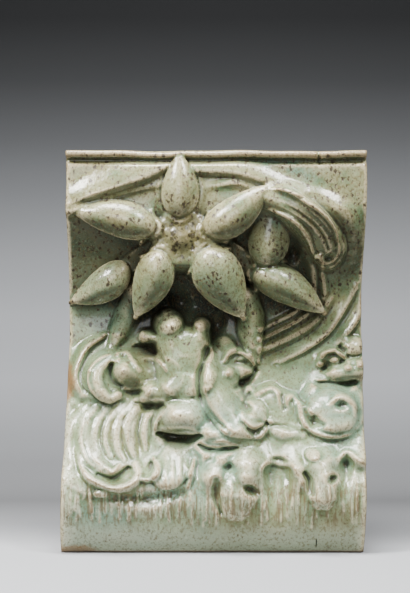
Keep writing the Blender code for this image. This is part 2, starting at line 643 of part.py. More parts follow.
def back_hollow():
    """The hollow pressed into the back, which follows the cove so that the wall of the face stays even."""
    section = curve_through(FACE_SECTION, 12)
    bottom = BASE_WALL
    top = TILE_HEIGHT - TOP_WALL
    levels = []
    for i in range(9):
        z = bottom + (top - bottom) * i / 8
        up = z / TILE_HEIGHT * UP
        clay = np.interp(up, section[:, 0], section[:, 1]) / DEEP * TILE_DEPTH
        shift = lean_at(up)
        levels.append((z, shift - TILE_WIDTH / 2 + SIDE_WALL, shift + TILE_WIDTH / 2 - SIDE_WALL,
                       TILE_DEPTH / 2 - clay + FACE_WALL, TILE_DEPTH))
    return stacked_box("back_hollow", levels)


def glazed_stoneware():
    material = bpy.data.materials.new("glazed_stoneware")
    material.use_nodes = True
    shader = material.node_tree.nodes["Principled BSDF"]
    shader.inputs["Base Color"].default_value = GLAZE_COLOUR
    shader.inputs["Roughness"].default_value = GLAZE_ROUGHNESS
    shader.inputs["Metallic"].default_value = 0
    return material


def cut(target, name, operation, cutter):
    cutter.hide_render = True
    cutter.display_type = "WIRE"
    step = target.modifiers.new(name, "BOOLEAN")
    step.operation = operation
    step.object = cutter


def relief_tile():
    clay = bmesh.new()
    add_slab(clay, carve(GRID_STEP))
    for arm in ARMS:
        add_arm(clay, arm)
    mesh = fused("relief_tile", clay)
    clay.free()
    tile = new_object("relief_tile", mesh)
    thin = tile.modifiers.new("thin", "DECIMATE")
    thin.ratio = TRIANGLES / (2 * len(mesh.polygons))
    cut(tile, "trim", "INTERSECT", trimming_block())
    cut(tile, "hollow", "DIFFERENCE", back_hollow())
    mesh.materials.append(glazed_stoneware())
    mesh.shade_smooth()
    mesh.set_sharp_from_angle(angle=math.radians(50))
    return tile


clear_scene()
relief_tile()
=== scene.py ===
# %% [markdown]
# A frieze tile of glazed stoneware, about 48 cm high, dressed for its portrait. The real tile was pressed
# by hand into a mould, carved while the clay was soft, fired, and covered with a thick green glaze that
# thins to brown on the edges and gathers blue-green in the hollows. This lesson builds its finished
# surface round the plain solid, which gives the true size and stays as it is.

# %% Load the fixed solid
import math

import bpy
import numpy as np
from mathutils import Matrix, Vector


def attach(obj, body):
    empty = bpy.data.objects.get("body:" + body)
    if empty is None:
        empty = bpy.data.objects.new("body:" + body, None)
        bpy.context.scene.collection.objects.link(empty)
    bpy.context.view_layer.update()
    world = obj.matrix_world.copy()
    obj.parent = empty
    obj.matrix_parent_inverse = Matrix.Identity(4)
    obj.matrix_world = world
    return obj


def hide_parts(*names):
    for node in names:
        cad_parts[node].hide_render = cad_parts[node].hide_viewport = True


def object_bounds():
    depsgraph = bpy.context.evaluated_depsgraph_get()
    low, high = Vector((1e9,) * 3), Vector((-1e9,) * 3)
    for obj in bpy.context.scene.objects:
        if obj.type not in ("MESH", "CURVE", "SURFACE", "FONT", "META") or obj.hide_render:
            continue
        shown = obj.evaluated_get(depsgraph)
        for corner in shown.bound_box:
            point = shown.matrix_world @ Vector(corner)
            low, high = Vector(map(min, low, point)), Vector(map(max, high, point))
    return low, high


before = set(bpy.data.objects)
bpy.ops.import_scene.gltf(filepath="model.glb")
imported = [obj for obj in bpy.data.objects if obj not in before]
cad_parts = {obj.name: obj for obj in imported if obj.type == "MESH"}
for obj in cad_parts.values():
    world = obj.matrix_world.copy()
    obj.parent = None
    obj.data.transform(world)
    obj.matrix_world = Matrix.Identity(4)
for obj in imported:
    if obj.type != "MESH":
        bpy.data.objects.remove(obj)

SOLID_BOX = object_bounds()
print("solid box", [[round(value, 4) for value in corner] for corner in SOLID_BOX])

# %% [markdown]
# The tile leans: its head is a few millimetres to the right of its foot, as the outline shows. So the box is
# wider than the tile, and the width of the clay is the box less the lean. The back is one flat plane. These
# few sizes come from the solid or match it, and all the rest follows from them.

# %% Sizes of the clay
NODE = "relief_tile"
FIRING_LEAN = 0.005
TILE_WIDTH = SOLID_BOX[1][0] - SOLID_BOX[0][0] - FIRING_LEAN
TILE_HEIGHT = SOLID_BOX[1][2]
BACK = SOLID_BOX[1][1]
TILE_DEPTH = 2 * BACK
FRONT = -BACK
WALLS = {"face": 0.026, "side": 0.022, "top": 0.022, "base": 0.026}
print("clay", round(TILE_WIDTH, 4), "wide", round(TILE_HEIGHT, 4), "high", round(TILE_DEPTH, 4), "deep")

# %% [markdown]
# The camera comes first, because every later choice is judged through it. The photograph was taken level,
# from about 1.7 m, a little left of the middle and at two thirds of the tile's height, with a long lens:
# the cove's sides barely narrow. The distance, the height and the lens follow from how wide the rim, the
# cove and the foot appear.

# %% Camera
PICTURE_HEIGHT = 593
SENSOR = 36
FOCAL_PIXELS = 1453
CAMERA_LEFT = 0.0085
CAMERA_AWAY = 1.704
CAMERA_HEIGHT = 0.304
camera_data = bpy.data.cameras.new("portrait")
camera_data.sensor_fit = "VERTICAL"
camera_data.sensor_height = SENSOR
camera_data.lens = FOCAL_PIXELS / PICTURE_HEIGHT * SENSOR
camera = bpy.data.objects.new("portrait", camera_data)
camera.location = (-CAMERA_LEFT, FRONT - CAMERA_AWAY, CAMERA_HEIGHT)
camera.rotation_euler = (math.radians(90), 0, 0)
bpy.context.scene.collection.objects.link(camera)
bpy.context.scene.camera = camera
print("lens", round(camera_data.lens, 1), "mm")

# %% [markdown]
# The tile stands on a pale sheet. A sheet that simply ends would draw a line behind the tile, so it is one
# long strip that starts a short way in front of the tile, lies flat under it and climbs in a wide curve
# behind it, as a photographer hangs paper. The back edge of a plane is extruded along that curve. The
# paper's colour carries painted shade that changes from end to end in place of the fall of the light, and
# each shade stands at its place along the sheet: pale under the tile, a grey painted shade just behind it,
# pale again in the bend and dark a metre up, so that the tile stands out at its head. It is kept out of the
# mirror of the glaze, because a sheet so near would veil the dark cove. It is stage, not part of the tile.
# The first helpers for materials link a value to a socket and work one step of arithmetic.

# %% Floor
def finished(name):
    """Names the active piece, and puts its place into its mesh."""
    piece = bpy.context.object
    bpy.ops.object.transform_apply(location=True, rotation=True, scale=True)
    piece.name = name
    piece.data.name = name
    return piece


def new_material(name, colour, roughness):
    material = bpy.data.materials.new(name)
    material.use_nodes = True
    shader = material.node_tree.nodes["Principled BSDF"]
    shader.inputs["Base Color"].default_value = (*colour, 1)
    shader.inputs["Roughness"].default_value = roughness
    return material


def feed(socket, value):
    """Links a socket to another node's output, or sets it to a number or a colour."""
    if isinstance(value, bpy.types.NodeSocket):
        tree.links.new(value, socket)
    else:
        socket.default_value = value


def sum_of(operation, first, second):
    """One step of arithmetic between two values."""
    step = tree.nodes.new("ShaderNodeMath")
    step.operation = operation
    feed(step.inputs[0], first)
    feed(step.inputs[1], second)
    return step.outputs[0]


def only_selected(piece):
    bpy.ops.object.select_all(action="DESELECT")
    piece.select_set(True)
    bpy.context.view_layer.objects.active = piece


SHEET_WIDTH = 9
SHEET_FRONT = -0.42
SHEET_BEND = 1.4
SHEET_RADIUS = 2.2
SHEET_STEPS = 24
SHEET_TOP = 2
# Painted shade along the sheet: its tone at each distance along it, in metres.
PAINTED_SHADES = {0.0: 0.41, 0.18: 0.24, 0.40: 0.12, 0.90: 0.22, 1.31: 0.36, 2.1: 0.62, 2.65: 0.63, 3.1: 0.50,
          3.55: 0.32, 3.95: 0.18, 4.33: 0.085, 4.7: 0.040}
SHADED_LENGTH = 5

bpy.ops.object.select_all(action="DESELECT")
bpy.ops.mesh.primitive_plane_add(size=1, location=(0, (SHEET_FRONT + SHEET_BEND) / 2, 0))
paper = bpy.context.object
paper.scale = (SHEET_WIDTH, SHEET_BEND - SHEET_FRONT, 1)
paper = finished("paper")
for polygon in paper.data.polygons:
    polygon.select = False
for vertex in paper.data.vertices:
    vertex.select = vertex.co.y > 0
for edge in paper.data.edges:
    edge.select = all(paper.data.vertices[i].select for i in edge.vertices)
bpy.ops.object.mode_set(mode="EDIT")
bpy.ops.mesh.select_mode(type="EDGE")
for i in range(SHEET_STEPS):
    turn = math.radians(90) * (i + 0.5) / SHEET_STEPS
    stride = math.radians(90) / SHEET_STEPS * SHEET_RADIUS
    climb = (0, stride * math.cos(turn), stride * math.sin(turn))
    bpy.ops.mesh.extrude_region_move(TRANSFORM_OT_translate={"value": climb})
bpy.ops.mesh.extrude_region_move(TRANSFORM_OT_translate={"value": (0, 0, SHEET_TOP)})
bpy.ops.object.mode_set(mode="OBJECT")
bpy.ops.object.shade_smooth()
paper_finish = new_material("paper", (0.80, 0.80, 0.80), 0.9)
tree = paper_finish.node_tree
apart = tree.nodes.new("ShaderNodeSeparateXYZ")
feed(apart.inputs[0], tree.nodes.new("ShaderNodeTexCoord").outputs["Object"])
along_sheet = sum_of("ADD", apart.outputs["Y"], apart.outputs["Z"])
# The paper's tone is painted shade, looked up by how far along the sheet a point lies.
graded = tree.nodes.new("ShaderNodeValToRGB")
feed(graded.inputs[0], sum_of("DIVIDE", along_sheet, SHADED_LENGTH))
ramp = graded.color_ramp
ramp.elements.remove(ramp.elements[1])
ramp.elements[0].position = 0
for along, shade in PAINTED_SHADES.items():
    stop = ramp.elements[0] if along == 0 else ramp.elements.new(along / SHADED_LENGTH)
    stop.color = (shade * 0.97, shade, shade * 1.05, 1)
feed(tree.nodes["Principled BSDF"].inputs["Base Color"], graded.outputs["Color"])
paper.data.materials.append(paper_finish)
paper.visible_glossy = False
print("paper of", len(paper.data.polygons), "faces")

# %% [markdown]
# The light is soft and comes from high up: the tops of the lobes shine, their undersides go dark, and the
# cove shades into itself, because its overhang keeps off whatever stands higher than about forty-five
# degrees. One panel hangs over the tile, one stands high on the left and a weaker one on the right. A weak,
# wide one in front opens the shadows a little, and one behind lights only the paper. The room is a dim grey.

# %% Light
def soft_panel(name, place, aim, size, power, colour):
    data = bpy.data.lights.new(name, "AREA")
    data.shape = "RECTANGLE"
    data.size, data.size_y = size
    data.energy = power
    data.color = colour
    panel = bpy.data.objects.new(name, data)
    panel.location = place
    panel.rotation_euler = (Vector(aim) - Vector(place)).to_track_quat("-Z", "Y").to_euler()
    bpy.context.scene.collection.objects.link(panel)
    return panel


DAYLIGHT = (1.0, 0.99, 0.97)
COOL = (0.97, 0.99, 1.0)
TILE_MIDDLE = (0, 0, 0.26)
soft_panel("top", (-0.12, -0.30, 1.55), (-0.02, -0.05, 0.2), (0.75, 0.45), 52, DAYLIGHT)
soft_panel("left", (-0.95, -0.72, 1.42), TILE_MIDDLE, (0.35, 0.45), 50, (1.0, 0.985, 0.96))
soft_panel("right", (0.75, -0.75, 1.60), TILE_MIDDLE, (0.35, 0.45), 30, DAYLIGHT)
soft_panel("fill", (-0.4, -2.2, 0.9), (0, 0, 0.24), (1.0, 1.0), 16, COOL)
soft_panel("paper", (0, 1.2, 2.4), (0, 3.3, 0.3), (2.0, 0.5), 20, COOL)

world = bpy.data.worlds.new("studio")
bpy.context.scene.world = world
world.use_nodes = True
room = world.node_tree.nodes["Background"]
room.inputs["Color"].default_value = (0.30, 0.31, 0.33, 1)
room.inputs["Strength"].default_value = 0.07

# %% [markdown]
# The carving could be sculpted by hand, but then nothing of it could be changed later. Here it is drawn: a
# grid of 300 by 400 squares lies over the face, and each stroke of the tool is a path with a width and a
# height, in squares and in 124ths of the depth. The heights add up to one raised surface.

# %% The drawing grid and the strokes
ACROSS = 300
UP = 400
DEEP = 124
FINE_STEP = 1
DEEPEST_CUT = 14
OVERLAP_SLOPE = 1.5
FACE_SECTION = (
    (0, 102), (16, 115), (36, 122), (54, 124), (74, 118), (94, 94), (110, 81), (130, 73), (165, 59),
    (200, 43), (228, 36), (258, 39), (292, 56), (318, 76), (336, 89), (352, 93), (400, 93),
)


def curve_through(points, pieces=7):
    """Points close together along a smooth curve through the given ones (Catmull-Rom)."""
    knots = np.array(points, float)
    ends = np.vstack([2 * knots[0] - knots[1], knots, 2 * knots[-1] - knots[-2]])
    share = np.linspace(0, 1, pieces, endpoint=False)[:, None]
    line = []
    for a, b, c, d in zip(ends, ends[1:], ends[2:], ends[3:]):
        bend = (2 * a - 5 * b + 4 * c - d) * share**2 + (3 * b - a - 3 * c + d) * share**3
        line.append(0.5 * (2 * b + (c - a) * share + bend))
    return np.vstack(line + [knots[-1:]])


def soft(q):
    """A low swelling that dies away at its edge, q running from 0 in the middle to 1 at the edge."""
    return np.clip(1 - q * q, 0, 1) ** 2


def full(q):
    """A round swelling with upright sides."""
    return np.sqrt(np.clip(1 - q * q, 0, 1))


def steep(q):
    """A flat middle with steep sides, as a tool leaves that is pushed into the clay."""
    return np.clip(1 - q**4, 0, 1) ** 1.5


def cliff(q):
    """A level top that drops away all at once near its edge."""
    return np.clip(1 - q**12, 0, 1)


def merged(low, high, blend):
    """The higher of two surfaces, with a fillet where they cross."""
    near = np.clip(blend - np.abs(low - high), 0, None)
    return np.maximum(low, high) + near * near / (4 * blend)


class Relief:
    """The height of the clay in front of the back plane, over the drawing grid."""

    def __init__(self, step):
        self.across = np.arange(0, ACROSS + step / 2, step)
        self.up = np.arange(0, UP + step / 2, step)
        self.u, self.v = np.meshgrid(self.across, self.up)
        section = curve_through(FACE_SECTION, 12)
        self.height = np.interp(self.v, section[:, 0], section[:, 1])
        self.deepest = self.height - DEEPEST_CUT

    def keep_wall(self):
        """Fills the deepest cuts, so that enough wall is left in front of the hollow back."""
        self.height = merged(self.height, self.deepest, 4)

    def ground(self):
        return self.height.copy()

    def window(self, low, high):
        cols = slice(*np.searchsorted(self.across, [low[0], high[0]]))
        rows = slice(*np.searchsorted(self.up, [low[1], high[1]]))
        return rows, cols

    def raise_by(self, window, rise, beyond, onto, blend):
        """Adds a rise to the clay, or builds it on an earlier ground and merges it with what is there.

        beyond is how far each point lies past the edge of the rise, which keeps the fillet at that edge.
        """
        if onto is None:
            self.height[window] += rise
        else:
            built = onto[window] + rise - OVERLAP_SLOPE * np.clip(beyond, 0, None)
            self.height[window] = merged(self.height[window], built, blend)

    def stroke(self, path, wide, tall, section=soft, lean=0.0, onto=None, blend=4.0):
        """Raises the clay along a path, or sinks it where tall is negative.

        wide is the half width and tall the height, each one number or several spread evenly from start to
        end. A stroke with lean is wider on the left of its path and narrower on the right.
        """
        line = curve_through(path)
        wide = np.atleast_1d(wide)
        tall = np.atleast_1d(tall)
        reach = wide.max() * (1 + abs(lean)) + (blend if onto is not None else 1)
        window = self.window(line.min(0) - reach, line.max(0) + reach)
        u, v = self.u[window], self.v[window]
        nearest = np.full(u.shape, np.inf)
        share = np.zeros(u.shape)
        side = np.zeros(u.shape)
        lengths = np.hypot(*np.diff(line, axis=0).T)
        gone = np.concatenate([[0], np.cumsum(lengths)])
        for i, length in enumerate(lengths):
            du, dv = (line[i + 1] - line[i]) / length
            pu, pv = u - line[i, 0], v - line[i, 1]
            along = np.clip(pu * du + pv * dv, 0, length)
            off = np.hypot(pu - along * du, pv - along * dv)
            closer = off < nearest
            nearest[closer] = off[closer]
            share[closer] = (gone[i] + along[closer]) / gone[-1]
            side[closer] = np.sign(du * pv - dv * pu)[closer]
        half_width = np.interp(share, np.linspace(0, 1, wide.size), wide) * (1 + lean * side)
        height = np.interp(share, np.linspace(0, 1, tall.size), tall)
        rise = height * section(nearest / half_width)
        self.raise_by(window, rise, nearest - half_width, onto, blend)

    def oval(self, centre, radii, tall, turn=0, section=full, onto=None, blend=4.0):
        """Raises, or sinks, an oval place. turn is in degrees, against the clock."""
        angle = math.radians(turn)
        reach = max(radii) + (blend if onto is not None else 1)
        window = self.window(np.subtract(centre, reach), np.add(centre, reach))
        pu, pv = self.u[window] - centre[0], self.v[window] - centre[1]
        q = np.hypot(
            (pu * math.cos(angle) + pv * math.sin(angle)) / radii[0],
            (pv * math.cos(angle) - pu * math.sin(angle)) / radii[1],
        )
        self.raise_by(window, tall * section(q), (q - 1) * min(radii), onto, blend)


relief = Relief(FINE_STEP)
stroke = relief.stroke
oval = relief.oval


def report(what):
    print(what, "clay", round(float(relief.height.min()), 1), "to", round(float(relief.height.max()), 1))


report("cove")

# %% [markdown]
# The rim is a rolled edge with a groove cut under it. It is the one straight line of the face, so it is drawn
# as three long strokes and left a little uneven.

# %% Rim
stroke([(-25, 397), (147, 397), (323, 397)], 4.4, 5, section=full)
stroke([(-25, 391), (147, 391), (323, 391)], 4.5, -5, lean=-0.4)
stroke([(251, 402), (252, 394), (253, 385)], 2.2, [-3, -5, 0])

report("rim")

# %% [markdown]
# Water sweeps over the band in long low ridges. Each is gentle above and steep below, so that it reads as a
# sheet lying over the next one. A stroke with a lean does that with one path.

# %% Streams over the band
stroke([(-3, 345), (20, 354), (39, 361), (61, 368), (79, 374), (100, 384)], [12, 15, 17, 17, 14],
       [4, 9, 10, 10, 7], lean=0.55)
stroke([(-1, 334), (17, 343), (33, 350), (53, 356), (71, 361), (92, 366)], [7, 9, 8], [3, 5, 4, 2],
       lean=0.45)
stroke([(-7, 337), (7, 338), (27, 337)], [9, 10, 8], [5, 7, 4], lean=0.4)
stroke([(128, 380), (164, 378), (195, 370), (214, 363), (230, 355)], [12, 14, 10], [5, 8, 6], lean=0.5)
stroke([(140, 364), (168, 367), (195, 360)], 6, [1, 4, 3])

report("upper streams")

# %% [markdown]
# On the right three strands of water run together into a tongue that hooks under itself. A broad round
# stroke makes its body, a narrow one its lit edge, and two cuts part the strands.

# %% The hooked tongue
stroke([(221, 364), (241, 357), (259, 348), (274, 337), (284, 323), (288, 308), (288, 293), (282, 281)],
       [9, 14, 17, 17, 15, 10], [2, 5, 7, 9, 9, 7, 2])
ground = relief.ground()
stroke([(196, 354), (217, 347), (237, 333), (252, 317), (260, 301)], [10, 15, 19, 19, 15],
       [14, 21, 26, 29, 26], section=full, onto=ground, blend=5)
stroke([(199, 363), (219, 360), (240, 346), (257, 333), (270, 318), (276, 304), (274, 292), (266, 285),
        (257, 287), (253, 294)], [5, 7.5, 7.5, 7.5, 7.5, 7, 6], [4, 8, 10, 10, 10, 13, 16, 15, 10])
stroke([(220, 354), (237, 344), (252, 334), (265, 320), (270, 306)], 2.2, [0, -3, -5, -6, -3])
stroke([(212, 347), (228, 339), (245, 327), (256, 315), (262, 302)], 2.2, [0, -3, -5, -5, -3])
oval((263, 294), (7, 5), -8, turn=20, section=soft)
stroke([(196, 342), (218, 333), (235, 319), (245, 301), (250, 279), (253, 251)], [5, 8, 9, 8, 5],
       [4, 9, 11, 10, 7, 4], lean=-0.4)
stroke([(257, 285), (261, 267), (263, 248)], 5, [6, 5, 2])

report("tongue")

# %% [markdown]
# Under the right-hand arms the water falls away in narrow bright runs, and in the middle it pours as one
# smooth sheet that swings off to the right. The sheet is built on the ground as it was, so that it covers
# what lies under it instead of adding to it.

# %% Lower streams
# Narrow runs of water that fall away under the right-hand arms.
stroke([(269, 252), (255, 231), (233, 216), (198, 200)], [5, 8, 8], [3, 7, 8])
stroke([(259, 251), (243, 235), (224, 224), (196, 210)], 5.5, [2, 6, 7])
stroke([(248, 253), (230, 237), (196, 220)], 5, [2, 5, 5])
stroke([(294, 263), (282, 241), (265, 217), (241, 200), (216, 188)], [7, 9, 9], [4, 9, 8, 3], lean=-0.4)
stroke([(305, 251), (294, 228), (277, 208), (257, 192)], 8, [5, 9, 8, 3], lean=-0.4)

# The smooth sheet that pours down from the wrack and swings away to the right edge.
ground = relief.ground()
stroke([(118, 210), (120, 182), (130, 152), (151, 126), (186, 111), (235, 105), (307, 110)],
       [32, 37, 37, 30, 25, 24], [16, 18, 18, 15, 11, 8], section=steep, onto=ground, blend=8)

report("lower streams")

# %% [markdown]
# The weed has two round bladders on thick stalks. They stand up like thumbs, so they are round strokes with
# upright sides, and the larger has a dark dent in its crown. Two arms of the starfish end beside them in
# thin tails.

# %% Weed and tails
# The thin lower ends of two arms, which lie on the cove.
ground = relief.ground()
stroke([(69, 257), (59, 237), (50, 216), (43, 200)], [13, 12, 10, 4], [22, 17, 11, 3], section=full,
       onto=ground, blend=6)
stroke([(181, 253), (186, 234), (186, 216), (189, 202), (194, 187)], [14, 15, 14, 10, 2],
       [32, 30, 26, 20, 8], section=full, onto=ground, blend=4)

# Two round bladders on thick stalks, and a bead beside them.
ground = relief.ground()
stroke([(101, 225), (104, 212), (110, 198), (117, 178)], [13, 18, 24, 26], [35, 30, 24, 14], section=full,
       onto=ground, blend=8)
oval((102, 226), (17, 17), 41, onto=ground)
oval((93, 237), (6, 5), -4, turn=-40, section=soft)
stroke([(136, 223), (134, 211), (130, 196)], [9, 13, 18], [29, 27, 20], section=full, onto=ground, blend=8)
oval((136, 224), (10, 10), 32, onto=ground)
stroke([(121, 211), (124, 198), (127, 180)], [16, 24, 26], [25, 24, 14], section=full, onto=ground,
       blend=10)
stroke([(78, 213), (88, 213), (100, 208)], [7, 8, 9], [26, 25, 22], section=full, onto=ground, blend=5)

report("weed")

# %% [markdown]
# A breaking wave curls in on itself: ridges that wind round a dark eye with a ball of foam in it. The second
# wave fans out from its crest and rolls into a lip at the bottom. Where one wave meets the next, foam steps
# down in lobes, each hollowed out underneath, which is where the darkest glaze lies.

# %% The two waves on the left
# The rolled wave at the left: rings that wind round a dark eye.
ground = relief.ground()
oval((42, 174), (46, 42), 14, section=soft, onto=ground, blend=5)
stroke([(36, 213), (20, 202), (12, 188), (9, 172), (15, 158), (26, 152)], [4, 8, 8, 6], [5, 9, 9, 8, 3],
       lean=-0.4)
stroke([(51, 197), (37, 194), (25, 185), (20, 172), (25, 159), (35, 149)], [4, 6, 6, 4], [3, 5, 6, 5, 2],
       lean=-0.3)
stroke([(51, 192), (38, 189), (30, 179), (30, 167), (36, 157), (44, 152), (52, 154)], [4, 7, 9, 9, 7, 5],
       [7, 11, 14, 15, 13, 8], section=full)
stroke([(45, 185), (44, 175), (48, 167), (55, 163)], [4, 6, 6, 4], -8)

# The large wave at the lower left: bands that fan out and roll under into a lip.
ground = relief.ground()
oval((44, 109), (56, 52), 14, section=soft, onto=ground, blend=5)
stroke([(22, 144), (9, 128), (5, 109), (9, 90)], [7, 10, 9], [3, 6, 3])
bands = (
    ([(31, 142), (21, 129), (19, 111), (25, 95), (39, 86)], [6, 10, 11, 10, 6], 8),
    ([(42, 142), (32, 126), (30, 109), (36, 94), (47, 86)], [5, 8, 8, 8, 5], 5),
    ([(53, 144), (44, 128), (42, 111), (47, 96)], [4, 6, 6, 4], 4),
    ([(69, 148), (58, 135), (53, 118), (55, 103), (61, 93)], [6, 10, 10, 9, 5], 6),
    ([(77, 148), (69, 136), (65, 120), (67, 106), (71, 96)], [6, 9, 10, 9, 5], 8),
    ([(90, 143), (82, 132), (80, 117), (82, 102)], [4, 6, 7, 4], 7),
    ([(100, 140), (92, 129), (90, 116)], [3, 4, 3], 4),
)
for path, wide, tall in bands:
    stroke(path, wide, [tall * 0.4, tall, tall, tall * 0.9, tall * 0.4])
creases = (
    [(23, 136), (20, 114), (26, 96), (36, 87)],
    [(70, 146), (59, 130), (58, 110)],
    [(76, 141), (67, 126), (67, 106)],
)
for path in creases:
    stroke(path, 1.8, [-0.5, -2, -2, -1])
stroke([(13, 101), (19, 88), (29, 76), (45, 69), (59, 67), (71, 72), (76, 80), (73, 88)],
       [4, 6, 7, 7.5, 7.5, 6], [2, 6, 9, 11, 12, 10, 5])
stroke([(19, 90), (30, 80), (46, 73), (59, 72), (69, 76)], 1.8, [-1, -3, -3, -1])
stroke([(44, 85), (51, 82), (57, 88)], [3, 5, 3], [3, 6, 3])
stroke([(36, 79), (51, 75), (65, 84)], [4, 7, 5], [-5, -11, -8], lean=-0.2)
stroke([(132, 101), (118, 94), (105, 81)], [12, 19, 17], [5, 13, 14], section=full, onto=ground)
stroke([(81, 75), (88, 76), (95, 84), (90, 93)], [4, 6, 6, 3], [6, 9, 9, 5])
oval((87, 86), (5, 7), -7, turn=-20, section=soft)
for u in range(98, 126, 7):
    stroke([(u, 94), (u + 1, 84), (u + 1, 72)], 2.6, [-1, -2, -1])
stroke([(130, 92), (128, 80), (125, 67)], [3, 5, 3], [4, 9, 3])
oval((40, 61), (8, 4), 5)
stroke([(51, 57), (83, 55), (119, 61)], [7, 11, 7], [-3, -9, -3])

# Foam along the left bank of the stream: lobes with overhanging lips, hollowed out underneath.
ground = relief.ground()
lobes = (
    ([(98, 173), (80, 176), (60, 181)], [20, 20, 19], [0, 14, 26]),
    ([(117, 156), (102, 157), (85, 159)], [20, 20, 17], [0, 13, 22]),
    ([(145, 140), (127, 137), (109, 135)], [24, 25, 22], [2, 18, 27]),
    ([(179, 120), (161, 118), (144, 119)], [18, 15, 12], [7, 13, 15]),
)
for path, wide, tall in lobes:
    stroke(path, wide, tall, onto=ground, blend=6)
stroke([(50, 196), (60, 197), (68, 189), (74, 180)], [3, 5, 4], [6, 9, 3])
stroke([(69, 203), (80, 201), (92, 196), (99, 188)], [5, 8, 7, 3], [-5, -12, -10, -3], lean=-0.2)
stroke([(73, 190), (84, 192), (94, 189), (100, 180)], [4, 5, 4], [3, 6, 3])
caves = (
    ([(55, 160), (65, 157), (76, 159)], [3, 6, 4], [-3, -7, -4]),
    ([(72, 147), (85, 143), (98, 145)], [4, 7, 4], [-4, -10, -5]),
    ([(95, 117), (110, 112), (126, 113), (135, 116)], [4, 9, 8, 4], [-10, -20, -19, -10]),
    ([(135, 107), (146, 102), (159, 103), (172, 105)], [3, 6, 5, 3], [-6, -13, -12, -6]),
)
for path, wide, tall in caves:
    stroke(path, wide, tall, lean=-0.35)
lips = (
    [(71, 160), (75, 167), (82, 168)],
    [(75, 152), (87, 150), (98, 150), (103, 144)],
    [(90, 127), (98, 122), (114, 124), (127, 123), (136, 117)],
    [(136, 113), (147, 110), (159, 111), (172, 107)],
)
for path in lips:
    stroke(path, [2, 3.4, 2], [1, 3, 1])

report("left waves")

# %% [markdown]
# The crest in the middle rises to a hook and trails off in scallops. The wave at the right edge is a curl
# seen from its side, with a rim round it and tufts of foam above.

# %% The crest and the wave on the right
# The crest in the middle, which rises to a hook and trails off to the right in scallops.
ground = relief.ground()
stroke([(158, 200), (155, 176), (157, 154), (171, 132), (193, 122)], [14, 19, 21, 18, 10],
       [18, 24, 22, 17, 9], section=full, onto=ground, blend=5)
stroke([(189, 142), (205, 145), (222, 141), (237, 133)], [13, 19, 16, 12], [14, 17, 15, 9], section=full,
       onto=ground, blend=5)
base = relief.ground()
oval((175, 184), (16, 15), 17, onto=ground, blend=5)
stroke([(138, 190), (134, 174), (136, 156), (147, 139), (165, 120)], [5, 6, 6, 4], [-5, -9, -7, -5, -2])
stroke([(138, 164), (143, 148), (154, 134), (169, 120)], [3, 4, 3], [2, 4, 4, 1])
stroke([(159, 189), (165, 197), (175, 199), (184, 194), (191, 185)], [4, 6, 6, 5, 3], [5, 12, 12, 9, 4])
stroke([(171, 187), (180, 186), (189, 180)], [4, 6, 5], [-4, -8, -6])
oval((164, 178), (8, 8), 7, section=soft)
stroke([(192, 178), (182, 168), (171, 162)], [4, 7, 4], [-4, -11, -6], lean=-0.2)
stroke([(168, 161), (176, 153), (181, 148)], 4, [1, 3, 1])
oval((141, 197), (7, 10), -14, turn=-10, section=soft)
oval((189, 137), (14, 15), 7, onto=base, blend=3)
oval((182, 143), (8, 6), -9, turn=-20, section=soft)
stroke([(177, 130), (189, 120), (202, 127)], [3, 6, 3], [-3, -8, -3], lean=-0.3)
stroke([(178, 151), (184, 160), (191, 157), (199, 161), (207, 163), (213, 158), (216, 148)], [4, 6, 6, 4],
       [3, 6, 6, 7, 7, 6, 2])
stroke([(220, 145), (224, 152), (230, 154), (234, 144)], [4, 5, 4], [2, 5, 5, 2])
stroke([(217, 154), (220, 142)], 3.5, [-6, -4])
stroke([(201, 126), (217, 119), (237, 118)], [9, 12, 9], [4, 8, 4])

# The curled wave at the right edge, under two tufts of foam.
ground = relief.ground()
oval((268, 142), (36, 30), 15, onto=ground, blend=6)
stroke([(309, 184), (289, 179), (271, 177)], [19, 17, 14], [15, 17, 15], onto=ground)
oval((270, 194), (14, 8), 12, onto=ground)
oval((291, 203), (13, 11), 14, onto=ground)
base = relief.ground()
stroke([(256, 191), (262, 198), (271, 199), (279, 194), (285, 189), (293, 190)], 4, [3, 8, 8, 8, 7, 3])
for ruffle in ((257, 186), (271, 188), (284, 183), (296, 186)):
    oval(ruffle, (7, 6), 7, section=soft)
oval((263, 181), (9, 5), -8, turn=25, section=soft)
oval((281, 200), (5, 4), -6, section=soft)
stroke([(252, 167), (264, 165), (278, 164), (292, 168)], [4, 7, 7, 4], [-6, -16, -16, -7], lean=-0.3)
stroke([(262, 173), (252, 168), (247, 157), (245, 146)], [7, 11, 7], [2, 4, 4, 1], lean=-0.3)
stroke([(235, 145), (236, 133), (242, 123), (253, 117), (269, 114), (293, 117)], 4, [1, 3, 4, 4, 3, 1])
oval((268, 140), (27, 21), 12, turn=-15, onto=base, blend=6)
stroke([(241, 140), (246, 132), (257, 126)], [4, 8, 5], [-4, -9, -5])
stroke([(264, 147), (273, 154), (282, 153), (289, 146), (290, 136)], [4, 6, 6, 4], [2, 5, 6, 5, 2])
oval((276, 145), (8, 5), -6, section=soft)

report("right waves")

# %% [markdown]
# Over the foot the foam hangs down in a ragged edge of lobes, pockets and channels. Its list of swellings and
# cuts is short, and each is one oval or one stroke.

